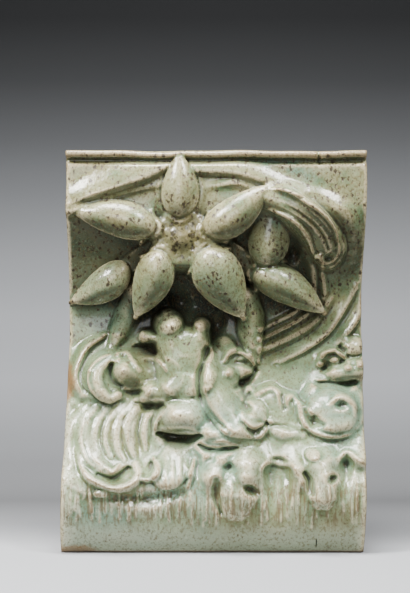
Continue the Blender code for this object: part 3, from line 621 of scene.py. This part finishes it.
# %% Foam over the foot
ground = relief.ground()
lobes = (
    ([(162, 105), (152, 92), (149, 80)], [18, 24, 18], [5, 14, 17], soft),
    ([(182, 105), (182, 92), (182, 80)], [20, 24, 20], [5, 16, 19], soft),
    ([(175, 71), (175, 58), (173, 48)], [17, 19, 15], [9, 12, 9], full),
    ([(229, 99), (233, 86), (237, 73)], [10, 13, 9], [3, 10, 9], soft),
    ([(255, 105), (256, 92), (258, 80)], [20, 25, 19], [5, 17, 18], soft),
    ([(258, 72), (257, 58)], [13, 14], [14, 15], full),
    ([(291, 107), (295, 94)], [16, 15], [6, 14], soft),
)
for path, wide, tall, section in lobes:
    stroke(path, wide, tall, section=section, onto=ground, blend=6)
stroke([(213, 81), (213, 60), (213, 36)], [16, 16, 12], [-11, -6, -1], section=steep)
stroke([(281, 87), (279, 72), (278, 56)], [9, 8, 6], [-10, -5, -1])
pits = (
    ((149, 94), (6, 5), 20, -5),
    ((164, 86), (8, 6), 0, -6),
    ((266, 75), (7, 6), 0, -13),
    ((187, 64), (11, 7), -35, -13),
)
for centre, radii, turn, deep in pits:
    oval(centre, radii, deep, turn=turn, section=soft)
channels = (
    ([(152, 74), (152, 58), (158, 41)], [6, 6, 3], -6),
    ([(239, 80), (243, 73), (246, 62)], [4, 7, 4], -8),
    ([(246, 53), (257, 48), (268, 53)], [4, 6, 4], -3),
)
for path, wide, deep in channels:
    stroke(path, wide, deep)
lips = (
    [(196, 74), (198, 86), (207, 90), (216, 88), (227, 87), (231, 80)],
    [(270, 87), (275, 96), (282, 100), (290, 94), (300, 88)],
    [(137, 83), (142, 96), (154, 102), (166, 99)],
)
for path in lips:
    stroke(path, 4.2, [1, 4, 4, 2])
oval((247, 98), (8, 6), 8)

report("foam")

# %% [markdown]
# The starfish lie in front of all this. Their arms are made later as whole shapes, because they overhang.
# The relief gets only the clay that carries them, kept inside their outline, and the pitted skin between
# the arms, with a thin raised edge where the skin meets each arm.

# %% The bed of the starfish
ARM_SHOULDER = 0.36
ARMS = (
    {"root": (114, 333), "tip": (113, 399), "wide": 19, "bow": 0, "deep": (27, 28), "thick": 15,
     "bed": 2, "skin": 0.85},
    {"root": (90, 322), "tip": (7, 338), "wide": 19, "bow": -3, "deep": (28, 27), "thick": 17,
     "bed": 2, "skin": 0.2},
    {"root": (138, 317), "tip": (203, 366), "wide": 19, "bow": -4, "deep": (27, 22), "thick": 17,
     "bed": 2, "skin": 0.3},
    {"root": (96, 300), "tip": (69, 233), "wide": 20, "bow": 3, "deep": (29, 46), "thick": 20,
     "bed": 4, "skin": 0.25},
    {"root": (137, 301), "tip": (178, 232), "wide": 25, "bow": 0, "deep": (27, 44), "thick": 21,
     "bed": 4, "skin": 0.25},
    {"root": (62, 286), "tip": (2, 248), "wide": 18, "bow": 4, "deep": (60, 66), "thick": 18,
     "bed": 6, "skin": 0},
    {"root": (199, 283), "tip": (210, 360), "wide": 21, "bow": 0, "deep": (48, 46), "thick": 18,
     "bed": 6, "skin": 0.2},
    {"root": (188, 281), "tip": (261, 237), "wide": 19, "bow": 4, "deep": (54, 58), "thick": 20,
     "bed": 6, "skin": 0.2},
)


def arm_girth(share):
    """The width of an arm from root to tip as a share of its widest: a blunt root and a drawn-out tip."""
    if share < ARM_SHOULDER:
        return math.sqrt(max(1 - (1 - share / ARM_SHOULDER) ** 2, 0))
    return max(1 - ((share - ARM_SHOULDER) / (1 - ARM_SHOULDER)) ** 1.8, 0) ** 0.9


def arm_point(arm, share, side=0.0):
    """A point of an arm: so far along its bowed middle line, and so far to the left of it."""
    root = np.array(arm["root"], float)
    axis = np.subtract(arm["tip"], root)
    across = np.array([-axis[1], axis[0]]) / np.hypot(*axis)
    return root + axis * share + across * (side + 4 * arm["bow"] * share * (1 - share))


def arm_outline(arm, reach, beyond):
    """A line round the root of an arm, at a distance from it and as far along it as reach."""
    shares = (reach, reach * 0.7, reach * 0.4, 0.08)
    sides = [(share, arm_girth(share) * arm["wide"] + beyond) for share in shares]
    behind = arm_point(arm, -beyond / math.dist(arm["root"], arm["tip"]))
    left = [arm_point(arm, share, side) for share, side in sides]
    right = [arm_point(arm, share, -side) for share, side in reversed(sides)]
    return [*left, behind, *right]


floor = np.zeros_like(relief.height)
oval((116, 312), (37, 37), DEEP - 29, section=cliff, onto=floor, blend=8)
oval((189, 287), (20, 18), DEEP - 56, section=cliff, onto=floor, blend=8)
stroke([(100, 307), (78, 296), (59, 285)], [18, 15, 11], [DEEP - 34, DEEP - 50, DEEP - 66], section=cliff,
       onto=floor, blend=8)
stroke([(139, 311), (162, 301), (182, 291)], [18, 14, 11], [DEEP - 34, DEEP - 46, DEEP - 58], section=cliff,
       onto=floor, blend=8)
for arm in ARMS:
    tops = [DEEP - deep - arm["bed"] for deep in np.linspace(*arm["deep"], 3)]
    wides = [arm["wide"] * 0.6, arm["wide"] * 0.6, 3]
    line = [arm_point(arm, share) for share in (0, 0.5, 1)]
    stroke(line, wides, tops, section=cliff, onto=floor, blend=8)
for arm in ARMS:
    if arm["skin"]:
        reach = arm["skin"]
        level = DEEP - arm["deep"][0] - 1
        wides = [arm["wide"] * 0.8, arm["wide"] + 5, arm["wide"] * arm_girth(reach) + 2]
        line = [arm_point(arm, share) for share in (0.05, reach / 2, reach)]
        stroke(line, wides, [level, level, level - 6], section=cliff, onto=floor, blend=4)
        stroke(arm_outline(arm, reach, 3.5), [2, 3.5, 3.5, 3.5, 2], [0.5, 1.5, 2, 1.5, 0.5])
oval((116, 315), (20, 19), 7, section=soft)
oval((114, 251), (14, 22), -8, turn=25, section=soft)
oval((151, 224), (12, 20), -8, turn=-20, section=soft)
oval((229, 301), (9, 16), -12, section=soft)
relief.keep_wall()
report("bed")

# %% [markdown]
# Glaze runs. Over the foot it came down in dozens of thin runs that stop where they cooled. Each is a short
# upright stroke with a drop at its end. Their places are drawn at random from a seed, so that they are the
# same every time.

# %% Runs of glaze
STAR_BED = (117, 313)
STAR_BED_RADII = (26, 22)


def glaze_runs(seed, count):
    """Thin upright runs over the foot."""
    chance = np.random.default_rng(seed)
    for _ in range(count):
        u = chance.uniform(4, 296)
        top = chance.uniform(62, 84)
        bottom = chance.uniform(26, 58)
        wide = chance.uniform(1.3, 2.2)
        tall = chance.uniform(0.6, 1.7)
        sway = chance.uniform(-1.5, 1.5)
        path = [(u, top), (u + sway, (top + bottom) / 2), (u, bottom)]
        stroke(path, [wide, wide * 0.8, wide], [0, tall, tall])


def pitted_skin(seed, count):
    """Small round pits in the skin of the starfish between its arms."""
    chance = np.random.default_rng(seed)
    for _ in range(count):
        angle = chance.uniform(0, 2 * math.pi)
        reach = math.sqrt(chance.uniform(0, 1))
        u = STAR_BED[0] + STAR_BED_RADII[0] * reach * math.cos(angle)
        v = STAR_BED[1] + STAR_BED_RADII[1] * reach * math.sin(angle)
        size = chance.uniform(1.8, 3.0)
        deep = chance.uniform(0.8, 2.0)
        oval((u, v), (size, size * 0.8), -deep, turn=chance.uniform(0, 180), section=soft)


def soft_edges(reach, drop):
    """Rounds the edges of the face, which no mould leaves sharp."""
    across = np.minimum(relief.u, ACROSS - relief.u)
    up = np.minimum(relief.v, UP - relief.v)
    near = np.clip(1 - np.minimum(across, up) / reach, 0, 1)
    relief.height -= drop * near**2


glaze_runs(11, 90)
pitted_skin(5, 70)
soft_edges(3, 2.5)
report("runs and pits")

# %% [markdown]
# The raised surface becomes clay. A grid is added with as many squares as the drawing, extruded once so
# that it has a front and a back, and then each point of the front is moved to its height. The back is moved
# too: it is pressed in behind the face, leaving even walls, with the dents of the fingers that pressed it.

# %% A blank of clay
HOLLOW_EDGE = 0.004
DENT_DEPTH = 3


def placed(u, v, height):
    """Points of the drawing, in metres, as one array."""
    share = np.clip(np.asarray(v) / UP, 0, 1)
    lean = FIRING_LEAN * (1 - (1 - share) ** 2.5)
    x = (np.asarray(u) / ACROSS - 0.5) * TILE_WIDTH + lean
    y = BACK - np.asarray(height) / DEEP * TILE_DEPTH
    z = np.asarray(v) / UP * TILE_HEIGHT
    return np.stack(np.broadcast_arrays(x, y, z), -1)


def pressed_back(seed, count):
    """How deep the back is pressed in, in steps of depth, over the drawing grid."""
    section = curve_through(FACE_SECTION, 12)
    deep = np.interp(relief.v, section[:, 0], section[:, 1]) - WALLS["face"] / TILE_DEPTH * DEEP
    edge_x = np.minimum(relief.u, ACROSS - relief.u) / ACROSS * TILE_WIDTH - WALLS["side"]
    edge_low = relief.v / UP * TILE_HEIGHT - WALLS["base"]
    edge_high = (UP - relief.v) / UP * TILE_HEIGHT - WALLS["top"]
    inside = np.minimum(np.minimum(edge_x, edge_low), edge_high)
    share = np.clip(inside / HOLLOW_EDGE, 0, 1)
    chance = np.random.default_rng(seed)
    dents = np.zeros_like(deep)
    for _ in range(count):
        u, v = chance.uniform(22, 278), chance.uniform(26, 378)
        size = chance.uniform(7, 11)
        dents += chance.uniform(0.4, 1.3) * np.exp(-((relief.u - u) ** 2 + (relief.v - v) ** 2) / size**2)
    return (deep - DENT_DEPTH + dents) * share * share * (3 - 2 * share)


def mesh_points(piece):
    points = np.empty(len(piece.data.vertices) * 3)
    piece.data.vertices.foreach_get("co", points)
    return points.reshape(-1, 3)


def clay_blank():
    """The carved face and the pressed back, joined by straight sides."""
    rows, cols = relief.height.shape
    bpy.ops.object.select_all(action="DESELECT")
    bpy.ops.mesh.primitive_grid_add(x_subdivisions=cols - 1, y_subdivisions=rows - 1, size=2)
    bpy.ops.object.mode_set(mode="EDIT")
    bpy.ops.mesh.extrude_region_move(TRANSFORM_OT_translate={"value": (0, 0, -1)})
    bpy.ops.object.mode_set(mode="OBJECT")
    blank = bpy.context.object
    points = mesh_points(blank)
    col = np.rint((points[:, 0] + 1) / 2 * (cols - 1)).astype(int)
    row = np.rint((points[:, 1] + 1) / 2 * (rows - 1)).astype(int)
    back = pressed_back(3, 260)
    height = np.where(points[:, 2] > -0.5, relief.height[row, col], back[row, col])
    points = placed(relief.across[col], relief.up[row], height)
    blank.data.vertices.foreach_set("co", points.ravel())
    blank.data.update()
    return blank


blank = clay_blank()
print("blank has", len(blank.data.vertices), "points")

# %% [markdown]
# An arm of a starfish is a seed: blunt at the root, widest a third of the way along and drawn out to a tip. A
# ball with many rings is added for each, and its rings are spread along the arm.

# %% The arms
def crest(across):
    """The surface of an arm over its width: a blunt ridge, with across from -1 to 1."""
    return (1 - abs(across) ** 1.8) ** 0.65


def starfish_arm(arm):
    """One arm, from a ball whose poles become its root and its tip."""
    bpy.ops.mesh.primitive_uv_sphere_add(segments=96, ring_count=64, radius=1)
    pod = bpy.context.object
    points = mesh_points(pod)
    share = np.clip((1 - points[:, 2]) / 2, 0, 1)
    girth = np.array([arm_girth(value) for value in share])
    angle = np.arctan2(points[:, 1], points[:, 0])
    sides = np.cos(angle) * girth * arm["wide"]
    drawn = np.array([arm_point(arm, along, side) for along, side in zip(share, sides)])
    deep = arm["deep"][0] * (1 - share) + arm["deep"][1] * share
    height = DEEP - deep + np.copysign(crest(np.cos(angle)), np.sin(angle)) * girth * arm["thick"]
    pod.data.vertices.foreach_set("co", placed(drawn[:, 0], drawn[:, 1], height).ravel())
    return pod


bpy.ops.object.select_all(action="DESELECT")
pods = [starfish_arm(arm) for arm in ARMS]
for piece in [*pods, blank]:
    piece.select_set(True)
bpy.context.view_layer.objects.active = blank
bpy.ops.object.join()
bpy.ops.object.mode_set(mode="EDIT")
bpy.ops.mesh.select_all(action="SELECT")
bpy.ops.mesh.normals_make_consistent(inside=False)
bpy.ops.object.mode_set(mode="OBJECT")
print(len(pods), "arms joined to the blank")

# %% [markdown]
# Fired clay has one skin. A voxel remesh wraps everything in a single closed surface of even squares. Air
# that is shut inside would get a skin of its own, so the surface is parted into its shells and only the
# outer one is kept. A few turns of smoothing take away the steps of the voxels and soften each edge, as
# slip and glaze do.

# %% One skin
CLAY_VOXEL = TILE_WIDTH / 300


def apply_modifier(piece, kind, **settings):
    """Adds a modifier, sets it and applies it."""
    bpy.context.view_layer.objects.active = piece
    modifier = piece.modifiers.new(kind.lower(), kind)
    for setting, value in settings.items():
        setattr(modifier, setting, value)
    bpy.ops.object.modifier_apply(modifier=modifier.name)


apply_modifier(blank, "REMESH", mode="VOXEL", voxel_size=CLAY_VOXEL)
bpy.ops.object.select_all(action="DESELECT")
blank.select_set(True)
bpy.ops.mesh.separate(type="LOOSE")
shells = sorted(bpy.context.selected_objects, key=lambda shell: len(shell.data.vertices))
tile = shells.pop()
for shell in shells:
    bpy.data.objects.remove(shell)
apply_modifier(tile, "SMOOTH", factor=0.5, iterations=7)


def hand_wobble(points):
    """The small unevenness that hands, mould and kiln leave in straight edges and even slopes."""
    x, y, z = points.T
    up = z / TILE_HEIGHT
    forward = np.clip((BACK - y) / TILE_DEPTH * 2, 0, 1)
    x_shift = 0.0005 * np.sin(z * 31 + 1) + 0.0003 * np.sin(z * 77 + y * 40)
    y_shift = 0.0007 * np.sin(x * 48 + z * 29) * np.sin(z * 53 - x * 21 + 2)
    z_shift = 0.0006 * np.sin(x * 37 + 0.6) + 0.0003 * np.sin(x * 91 + y * 50)
    return np.stack([x + x_shift * up, y + y_shift * forward, z + z_shift * up**4], -1)


tile.data.vertices.foreach_set("co", hand_wobble(mesh_points(tile)).ravel())
tile.data.update()
print("skin of", len(tile.data.vertices), "points,", len(shells), "inner shells dropped")

# %% [markdown]
# The glaze needs to know where it would thin and where it would gather, and where painted shade and painted
# highlight go. All follow from the shape: the skin is smoothed hard in a copy, and how far each point stands
# out of that copy says how much of an edge or a hollow it is, once on a small scale and once on a large one.
# The answers are kept as attributes of the mesh, which the material reads.

# %% Where the glaze thins and gathers
def mesh_normals(piece):
    normals = np.empty(len(piece.data.vertices) * 3)
    piece.data.vertex_normals.foreach_get("vector", normals)
    return normals.reshape(-1, 3)


def stands_out(piece, rounds):
    """How far each point stands out of a smoothed copy, in millimetres."""
    copy = piece.copy()
    copy.data = piece.data.copy()
    bpy.context.scene.collection.objects.link(copy)
    apply_modifier(copy, "SMOOTH", factor=0.5, iterations=rounds)
    out = ((mesh_points(piece) - mesh_points(copy)) * mesh_normals(piece)).sum(1) * 1000
    bpy.data.objects.remove(copy)
    return out


def keep(piece, name, values):
    attribute = piece.data.attributes.new(name, "FLOAT", "POINT")
    attribute.data.foreach_set("value", np.asarray(values, np.float32))


fine_edge = stands_out(tile, 8)
broad_edge = stands_out(tile, 120)
points = mesh_points(tile)
normals = mesh_normals(tile)
keep(tile, "edge", fine_edge)
keep(tile, "swell", broad_edge)
behind = np.clip((points[:, 1] - BACK + 0.012) / 0.006, 0, 1)
turned_away = np.clip((normals[:, 1] - 0.3) / 0.3, 0, 1)
underneath = np.clip((0.003 - points[:, 2]) / 0.002, 0, 1)
keep(tile, "bare", np.maximum(np.maximum(behind, turned_away), underneath))
# How far each point faces down, for the painted shade under the overhang.
keep(tile, "under", -normals[:, 2])
shares = [1, 5, 25, 50, 75, 95, 99]
print("edge", np.percentile(fine_edge, shares).round(2))
print("swell", np.percentile(broad_edge, shares).round(2))

# %% [markdown]
# Deep under the arms and lobes little light reaches, and there the glaze is painted dark as painted shade.
# To find those places, the tile is looked at from the front: the foremost clay in each square of the drawing
# is noted, spread to its neighbours and blurred. How far a point lies behind that veil says how deep it is
# sunk.

# %% How deep each point is sunk
SPREAD = 5
VEIL = 11


def spread_out(veil, reach):
    """Each square takes the highest value near it."""
    for axis in (0, 1):
        veil = np.max([np.roll(veil, shift, axis) for shift in range(-reach, reach + 1)], axis=0)
    return veil


def blurred(veil, reach):
    for axis in (0, 1):
        veil = np.mean([np.roll(veil, shift, axis) for shift in range(-reach, reach + 1)], axis=0)
    return veil


row = np.clip(np.rint(points[:, 2] / TILE_HEIGHT * UP), 0, UP).astype(int)
col = np.clip(np.rint((points[:, 0] / TILE_WIDTH + 0.5) * ACROSS), 0, ACROSS).astype(int)
forward = (BACK - points[:, 1]) * 1000
veil = np.zeros((UP + 1, ACROSS + 1))
np.maximum.at(veil, (row, col), forward)
veil = blurred(blurred(spread_out(veil, SPREAD), VEIL), VEIL)
sunk = veil[row, col] - forward
keep(tile, "sunk", sunk)
seen = forward > 30
print("sunk", np.percentile(sunk[seen], shares).round(1), "mm")

# %% [markdown]
# So even a skin has far more faces than the tile needs: its flat back is cut as finely as its foam. Decimate
# takes faces away where the surface is flat and keeps them where it bends.

# %% Fewer faces
TRIANGLES = 190000
face_count = sum(len(polygon.vertices) - 2 for polygon in tile.data.polygons)
apply_modifier(tile, "DECIMATE", ratio=min(1, TRIANGLES / face_count))
only_selected(tile)
tile = finished("glazed_tile")
bpy.ops.object.shade_smooth()
print("tile of", len(tile.data.polygons), "faces, from", face_count)

# %% [markdown]
# The glaze is one material with some thirty plain steps, and each step is a colour laid over the one before
# through a mask. These short helpers add a node or three each, so that a step reads like a sentence.

# %% Helpers for the glaze
def total(first, second):
    return sum_of("ADD", first, second)


def share_of(value, share):
    return sum_of("MULTIPLY", value, share)


def mask(value, low, high):
    """A mask that rises smoothly from 0 at the low value to 1 at the high one."""
    step = tree.nodes.new("ShaderNodeMapRange")
    step.interpolation_type = "SMOOTHSTEP"
    feed(step.inputs["Value"], value)
    step.inputs["From Min"].default_value = low
    step.inputs["From Max"].default_value = high
    return step.outputs[0]


def laid_over(share, under, over):
    """A colour laid over another one through a mask."""
    step = tree.nodes.new("ShaderNodeMix")
    step.data_type = "RGBA"
    feed(step.inputs[0], share)
    feed(step.inputs[6], under)
    feed(step.inputs[7], over)
    return step.outputs[2]


def brushed(tone, colour, value, low, high, strength):
    """A colour brushed on where a value lies past its low limit, in full strength past its high one."""
    return laid_over(share_of(mask(value, low, high), strength), tone, colour)


def cloudy(place, scale, detail=3, rough=0.55):
    """Soft irregular patches, so many of them to the metre."""
    step = tree.nodes.new("ShaderNodeTexNoise")
    feed(step.inputs["Vector"], place)
    step.inputs["Scale"].default_value = scale
    step.inputs["Detail"].default_value = detail
    step.inputs["Roughness"].default_value = rough
    return step.outputs["Fac"]


def stretched(place, stretch):
    step = tree.nodes.new("ShaderNodeMapping")
    feed(step.inputs["Vector"], place)
    step.inputs["Scale"].default_value = stretch
    return step.outputs[0]


def kept(name):
    """One of the values kept in the mesh."""
    step = tree.nodes.new("ShaderNodeAttribute")
    step.attribute_name = name
    return step.outputs["Fac"]


# %% [markdown]
# The real glaze is a grey-green over an iron-bearing body. It is pale on crowns, warmer towards the head of
# the tile and grey at its foot. In shallow hollows it pools blue-green. Deep in the cavities, in broad
# hollows and under the overhang it is painted nearly black, as painted shade. On the waves it turns white as
# milk, and part of that white is painted highlight, strongest low on the tile and towards the left. Where it
# lies thin, on crests, it turns buff, and that buff also stands in as painted highlight; on the sharpest
# edges it turns brown, and iron gathers in the creases. Those are the masks, and slow clouds shift most
# limits a little, so that no colour ends along a line.

# %% Glaze colours
CELADON = (0.120, 0.175, 0.088, 1)
PALE_CELADON = (0.230, 0.300, 0.165, 1)
GREY_GREEN = (0.245, 0.300, 0.205, 1)
PALE_CROWN = (0.385, 0.400, 0.225, 1)
OLIVE = (0.215, 0.188, 0.072, 1)
SPECKLED = (0.125, 0.105, 0.040, 1)
POOLED = (0.150, 0.295, 0.225, 1)
# Painted shade: the near-black green that stands for shade in cavities, in hollows and under the overhang.
PAINTED_SHADE_GREEN = (0.048, 0.062, 0.036, 1)
# Buff of thin glaze, which also serves as painted highlight on crests.
BUFF_HIGHLIGHT = (0.56, 0.48, 0.30, 1)
BROWN = (0.170, 0.095, 0.038, 1)
IRON = (0.030, 0.023, 0.012, 1)
DARK_FLECK = (0.066, 0.052, 0.024, 1)
# Pitch black: the colour of the crack, and painted shade in the deepest cavities.
PITCH = (0.010, 0.012, 0.009, 1)
RUST = (0.230, 0.105, 0.036, 1)
WARM = (0.300, 0.235, 0.125, 1)
STREAK = (0.150, 0.108, 0.054, 1)
# White of the glaze on the waves, which also serves as painted highlight.
MILKY_SHEEN = (0.660, 0.650, 0.500, 1)
CLAY = (0.33, 0.235, 0.155, 1)
DRY_CLAY = (0.42, 0.31, 0.21, 1)

glaze = new_material("celadon_glaze", CELADON[:3], 0.28)
tree = glaze.node_tree
shader = tree.nodes["Principled BSDF"]
place = tree.nodes.new("ShaderNodeTexCoord").outputs["Object"]
clouds = cloudy(place, 9, detail=4)
patches = cloudy(place, 26, detail=5)
small_patches = cloudy(place, 110, detail=4, rough=0.65)
apart = tree.nodes.new("ShaderNodeSeparateXYZ")
feed(apart.inputs[0], place)
level = apart.outputs["Z"]
edge = kept("edge")
swell = kept("swell")
sunk = kept("sunk")

tone = laid_over(mask(patches, 0.36, 0.64), CELADON, PALE_CELADON)
tone = brushed(tone, OLIVE, clouds, 0.52, 0.66, 0.55)
tone = brushed(tone, POOLED, clouds, 0.48, 0.36, 0.5)
tone = brushed(tone, GREY_GREEN, level, 0.042, 0.018, 0.7)

pale = total(share_of(mask(level, 0.34, 0.24), 0.3), 0.42)
pale = sum_of("MULTIPLY", mask(swell, 0.0, 1.3), pale)
tone = laid_over(pale, tone, PALE_CROWN)
warm_clouds = sum_of("MULTIPLY", mask(level, 0.28, 0.40), mask(patches, 0.32, 0.52))
tone = laid_over(share_of(warm_clouds, 0.5), tone, WARM)
hollow = total(share_of(swell, -1.0), share_of(small_patches, 2.0))
tone = brushed(tone, POOLED, hollow, 1.5, 3.2, 0.6)
# Painted shade: the deeper a point lies behind the clay in front of it, the darker it is painted.
tone = brushed(tone, PAINTED_SHADE_GREEN, sunk, 10, 48, 0.93)
# Painted shade in broad hollows, darker the deeper the hollow.
tone = brushed(tone, PAINTED_SHADE_GREEN, swell, -1.4, -4.0, 0.7)
# Painted shade, near black, in the deepest cavities.
tone = brushed(tone, PITCH, sunk, 14, 32, 0.92)
# Painted shade under the overhang: faces that look down, above the foot, are darkened.
overhang_shade = sum_of("MULTIPLY", mask(kept("under"), 0.2, 0.6), mask(level, 0.10, 0.16))
tone = laid_over(share_of(overhang_shade, 0.82), tone, PAINTED_SHADE_GREEN)

# Milky glaze on the waves and partly a painted highlight: whiter low on the tile, on swellings and towards
# the left, where the stronger side light comes from.
milky_sheen = total(share_of(mask(apart.outputs["X"], 0.02, -0.08), 0.4), 0.6)
milky_sheen = sum_of("MULTIPLY", milky_sheen, mask(level, 0.22, 0.14))
milky_sheen = sum_of("MULTIPLY", milky_sheen, mask(swell, -0.4, 0.9))
tone = laid_over(share_of(milky_sheen, 0.8), tone, MILKY_SHEEN)

# Buff where the glaze thins on ridges and crests, and partly a painted highlight on them.
ridge = total(share_of(edge, 4.5), share_of(swell, 0.5))
ridge = total(ridge, share_of(small_patches, 1.1))
tone = brushed(tone, BUFF_HIGHLIGHT, ridge, 0.80, 1.7, 0.85)
at_rim = share_of(mask(level, 0.466, 0.471), 0.45)
sharp = total(total(share_of(edge, 5.5), small_patches), at_rim)
tone = brushed(tone, BROWN, sharp, 1.05, 1.55, 0.55)
crease = total(share_of(edge, -7.0), small_patches)
tone = brushed(tone, IRON, crease, 0.85, 1.7, 0.75)

# %% [markdown]
# All over the glaze there are flecks of iron, one to three millimetres wide, each with a brown rim. The cells
# of a Voronoi pattern give one fleck each. The cell's own random value sets the size of its fleck, a fine
# noise makes its outline ragged, and a slow one makes the flecks crowd together here and thin out there.

# %% Iron flecks
def flecks(place, scale, largest, crowding):
    """How far inside a fleck each point lies, above 0 inside and below 0 outside."""
    shaken = tree.nodes.new("ShaderNodeTexNoise")
    feed(shaken.inputs["Vector"], place)
    shaken.inputs["Scale"].default_value = scale * 1.3
    moved = tree.nodes.new("ShaderNodeVectorMath")
    moved.operation = "MULTIPLY_ADD"
    feed(moved.inputs[0], shaken.outputs["Color"])
    moved.inputs[1].default_value = (1.3 / scale, 1.3 / scale, 1.3 / scale)
    feed(moved.inputs[2], place)
    cells = tree.nodes.new("ShaderNodeTexVoronoi")
    feed(cells.inputs["Vector"], moved.outputs[0])
    cells.inputs["Scale"].default_value = scale
    chance = tree.nodes.new("ShaderNodeSeparateColor")
    feed(chance.inputs[0], cells.outputs["Color"])
    size = share_of(sum_of("MULTIPLY", chance.outputs[0], crowding), largest)
    ragged = share_of(cloudy(place, scale * 3.5, detail=2), 0.5)
    return sum_of("SUBTRACT", total(size, ragged), total(cells.outputs["Distance"], 0.25))


streamed = stretched(place, (1.0, 1.0, 0.75))
crowds = cloudy(place, 34, detail=3)
crowding = mask(crowds, 0.15, 0.47)
mottle = cloudy(streamed, 330, detail=3, rough=0.6)
tone = brushed(tone, SPECKLED, mottle, 0.48, 0.66, 0.6)
tone = brushed(tone, PALE_CELADON, mottle, 0.46, 0.30, 0.35)
above_waves = total(share_of(mask(level, 0.18, 0.28), 0.55), 0.35)
crowding = sum_of("MULTIPLY", crowding, above_waves)
large = flecks(streamed, 205, 0.52, crowding)
small = flecks(streamed, 430, 0.50, crowding)
tone = brushed(tone, DARK_FLECK, small, -0.06, 0.10, 0.5)
tone = brushed(tone, BROWN, large, -0.12, 0.03, 0.5)
fleck_mask = mask(large, -0.04, 0.12)
tone = laid_over(share_of(fleck_mask, 0.85), tone, IRON)

# %% [markdown]
# A few marks belong to this one tile: an olive bed of the star with dark dots, a rusty stain at the left edge
# and another at the foot, and a short dark crack near the right corner. Each is an oval of its own place and
# size, in metres, with a ragged outline. All of them reach through the whole depth of the tile.

# %% Stains and the crack
def stain(place, centre, radii):
    """How far inside an oval each point lies, 1 at its middle and below 0 outside."""
    away = place
    for operation, values in (("SUBTRACT", centre), ("DIVIDE", radii)):
        step = tree.nodes.new("ShaderNodeVectorMath")
        step.operation = operation
        feed(step.inputs[0], away)
        step.inputs[1].default_value = values
        away = step.outputs[0]
    length = tree.nodes.new("ShaderNodeVectorMath")
    length.operation = "LENGTH"
    feed(length.inputs[0], away)
    return sum_of("SUBTRACT", small_patches, total(length.outputs["Value"], -0.5))


THROUGH = 0.2
STAINS = (
    ((-0.176, 0, 0.200), (0.012, THROUGH, 0.030), 0.75, RUST),
    ((-0.160, 0, 0.004), (0.028, THROUGH, 0.008), 0.60, RUST),
    ((0.123, 0, 0.013), (0.0012, THROUGH, 0.0070), 0.90, PITCH),
)
bed = mask(stain(place, (-0.037, 0, 0.374), (0.036, THROUGH, 0.032)), 0.0, 0.4)
tone = laid_over(share_of(bed, 0.6), tone, SPECKLED)
dots = flecks(place, 165, 0.72, bed)
tone = brushed(tone, IRON, dots, -0.02, 0.12, 0.8)
for centre, radii, strength, colour in STAINS:
    inside = mask(stain(place, centre, radii), 0.0, 0.5)
    tone = laid_over(share_of(inside, strength), tone, colour)

# %% [markdown]
# Over the foot the glaze ran down in streaks. They are the same noise stretched upright, held between two
# levels above the floor. The raw clay shows behind and below, where no glaze was brushed.

# %% Streaks and raw clay
streaks = cloudy(stretched(place, (1.0, 1.0, 0.05)), 300, detail=3)
foot = sum_of("MULTIPLY", mask(level, 0.020, 0.050), mask(level, 0.100, 0.070))
streak_mask = sum_of("MULTIPLY", mask(streaks, 0.47, 0.60), foot)
tone = laid_over(share_of(streak_mask, 0.75), tone, STREAK)
bare = kept("bare")
grain = cloudy(place, 700, detail=3)
clay_tone = laid_over(mask(grain, 0.35, 0.65), CLAY, DRY_CLAY)
tone = laid_over(bare, tone, clay_tone)
feed(shader.inputs["Base Color"], tone)

# %% [markdown]
# A glaze shines but is never flat. Its skin waves a little, each fleck is a pit, and the shine is duller
# on flecks and on bare clay. The heights of all that go through one bump.

# %% Gloss and skin
shine = total(share_of(small_patches, 0.18), 0.16)
shine = total(shine, share_of(fleck_mask, 0.2))
shine = total(shine, share_of(mask(sunk, 8, 24), 0.45))
shine = total(shine, share_of(bare, 0.5))
feed(shader.inputs["Roughness"], shine)
shader.inputs["Coat Weight"].default_value = 0.4
shader.inputs["Coat Roughness"].default_value = 0.10
waves = cloudy(place, 140, detail=3)
skin = total(waves, share_of(fleck_mask, -0.4))
skin = total(skin, share_of(grain, 0.12))
bump = tree.nodes.new("ShaderNodeBump")
bump.inputs["Strength"].default_value = 0.6
bump.inputs["Distance"].default_value = 0.0012
feed(bump.inputs["Height"], skin)
feed(shader.inputs["Normal"], bump.outputs[0])
tile.data.materials.append(glaze)
print("glaze of", len(tree.nodes), "nodes")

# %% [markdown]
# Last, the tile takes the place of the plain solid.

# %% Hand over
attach(tile, "root")
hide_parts(NODE)
